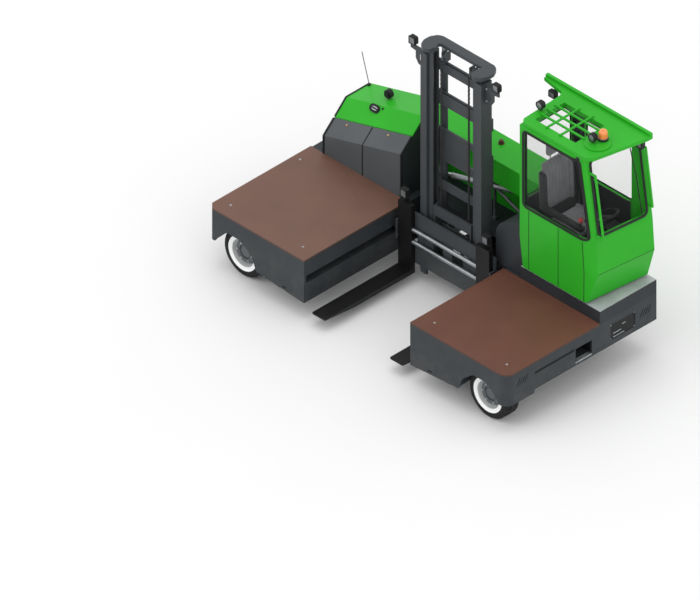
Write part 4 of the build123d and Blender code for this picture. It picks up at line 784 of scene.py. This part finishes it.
def add_cushion(name, blocks, most, lean=0.0):
    pad = bmesh.new()
    for low, high in blocks:
        add_block(pad, low, high, 0.024)
    for vert in pad.verts:
        vert.co.x -= lean * (vert.co.z - blocks[0][0][2])
    made = add_piece(name, pad, [seat_cloth], "chassis", 80)
    bpy.context.view_layer.objects.active = made
    made.select_set(True)
    voxel = made.modifiers.new("even_mesh", "REMESH")
    voxel.mode = "VOXEL"
    voxel.voxel_size = VOXEL
    bpy.ops.object.modifier_apply(modifier=voxel.name)
    still = [vert.co.copy() for vert in made.data.vertices]
    cloth = made.modifiers.new("stuffing", "CLOTH")
    cloth.settings.use_pressure = True
    cloth.settings.uniform_pressure_force = PRESSURE
    cloth.settings.effector_weights.gravity = 0.0
    for tick in range(1, TICKS + 1):
        bpy.context.scene.frame_set(tick)
    bpy.ops.object.modifier_apply(modifier=cloth.name)
    bpy.context.scene.frame_set(1)
    for vert, rest in zip(made.data.vertices, still):
        move = vert.co - rest
        if move.length > most:
            vert.co = rest + move.normalized() * most
    smooth = made.modifiers.new("soft_skin", "SUBSURF")
    smooth.levels = smooth.render_levels = 1
    bpy.ops.object.modifier_apply(modifier=smooth.name)
    made.data.polygons.foreach_set("use_smooth", [True] * len(made.data.polygons))
    made.select_set(False)
    return made


BOLSTERS = ((0.384, 0.442), (0.758, 0.816))
seat_blocks = [((1.194, 0.430, 1.376), (1.586, 0.770, 1.452))]
back_blocks = [((1.074, 0.430, 1.500), (1.148, 0.770, 2.046))]
for y0, y1 in BOLSTERS:
    seat_blocks.append(((1.194, y0, 1.376), (1.586, y1, 1.470)))
    back_blocks.append(((1.074, y0, 1.500), (1.174, y1, 1.96)))
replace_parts(add_cushion("seat_pad", seat_blocks, 0.010), "seat_cushion")
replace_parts(add_cushion("back_pad", back_blocks, 0.010, 0.05), "seat_back")
add_cushion("head_pad", [((1.052, 0.490, 2.100), (1.118, 0.710, 2.250))], 0.008)
POST_X = 1.085
posts = bmesh.new()
for y in (0.54, 0.66):
    bead(posts, [(POST_X, y, 2.02), (POST_X, y, 2.14)], 0.007, 10)
add_piece("head_posts", posts, [chromed], "chassis", 40)
knob_red, shader, spot = start_finish("knob_red", Coat_Weight=0.2)
fade = cloud(spot, 25.0, 4.0)
feed(shader, Base_Color=mix(fade, tint(196, 34, 32), tint(146, 24, 26)), Roughness=0.34 + 0.2 * fade)
stick = bmesh.new()
egg = Matrix.Translation((1.7141, 0.330, 1.735)) @ Matrix.Diagonal((1.0, 1.0, 1.15, 1.0))
bmesh.ops.create_uvsphere(stick, u_segments=20, v_segments=12, radius=0.0255, matrix=egg)
add_piece("stick_knob", stick, [knob_red], "chassis", 60)


# Stage: a pale floor, a soft white sky and three broad suns. None of it belongs to the truck.
# The camera looks along a diagonal with no perspective.
SUNS = [                        # name, place, strength
    ("key", (-3.0, -6.0, 8.0), 0.35),
    ("side", (7.0, -2.0, 5.0), 0.2),
    ("top", (0.0, 0.0, 9.0), 0.5),
]
SUN_AIM = Vector((0.0, 0.0, 0.8))
VIEW_WIDTH = 6.804
VIEW_FOOT = Vector((-0.6595, -0.469, 0.0))      # the point on the floor in the middle of the picture
VIEW_FAR = 14.0
ground = bmesh.new()
bmesh.ops.create_grid(ground, x_segments=1, y_segments=1, size=30.0)
data = bpy.data.meshes.new("floor")
ground.to_mesh(data)
ground.free()
floor = bpy.data.objects.new("floor", data)
bpy.context.scene.collection.objects.link(floor)
pale, shader, spot = start_finish("pale_floor")
feed(shader, Base_Color=mix(cloud(spot, 0.6), (0.79, 0.79, 0.79), (0.81, 0.81, 0.81)),
     Roughness=0.8 + 0.1 * cloud(spot, 3.0))
data.materials.append(pale)
world = bpy.data.worlds.new("sky")
bpy.context.scene.world = world
world.use_nodes = True
world.node_tree.nodes["Background"].inputs["Color"].default_value = (1.0, 1.0, 1.0, 1.0)
world.node_tree.nodes["Background"].inputs["Strength"].default_value = 1.0
for name, place, power in SUNS:
    light = bpy.data.lights.new(name, "SUN")
    light.angle = math.radians(40)
    light.energy = power
    lamp = bpy.data.objects.new(name, light)
    bpy.context.scene.collection.objects.link(lamp)
    lamp.location = place
    lamp.rotation_euler = (SUN_AIM - Vector(place)).to_track_quat("-Z", "Y").to_euler()
back = Vector((1.0, -1.0, 1.0)).normalized()
view = bpy.data.cameras.new("view")
view.type = "ORTHO"
view.ortho_scale = VIEW_WIDTH
view.clip_end = 100.0
camera = bpy.data.objects.new("camera", view)
bpy.context.scene.collection.objects.link(camera)
camera.location = VIEW_FOOT + back * VIEW_FAR
camera.rotation_euler = back.to_track_quat("Z", "Y").to_euler()
bpy.context.scene.camera = camera
bpy.context.scene.view_settings.view_transform = "Standard"
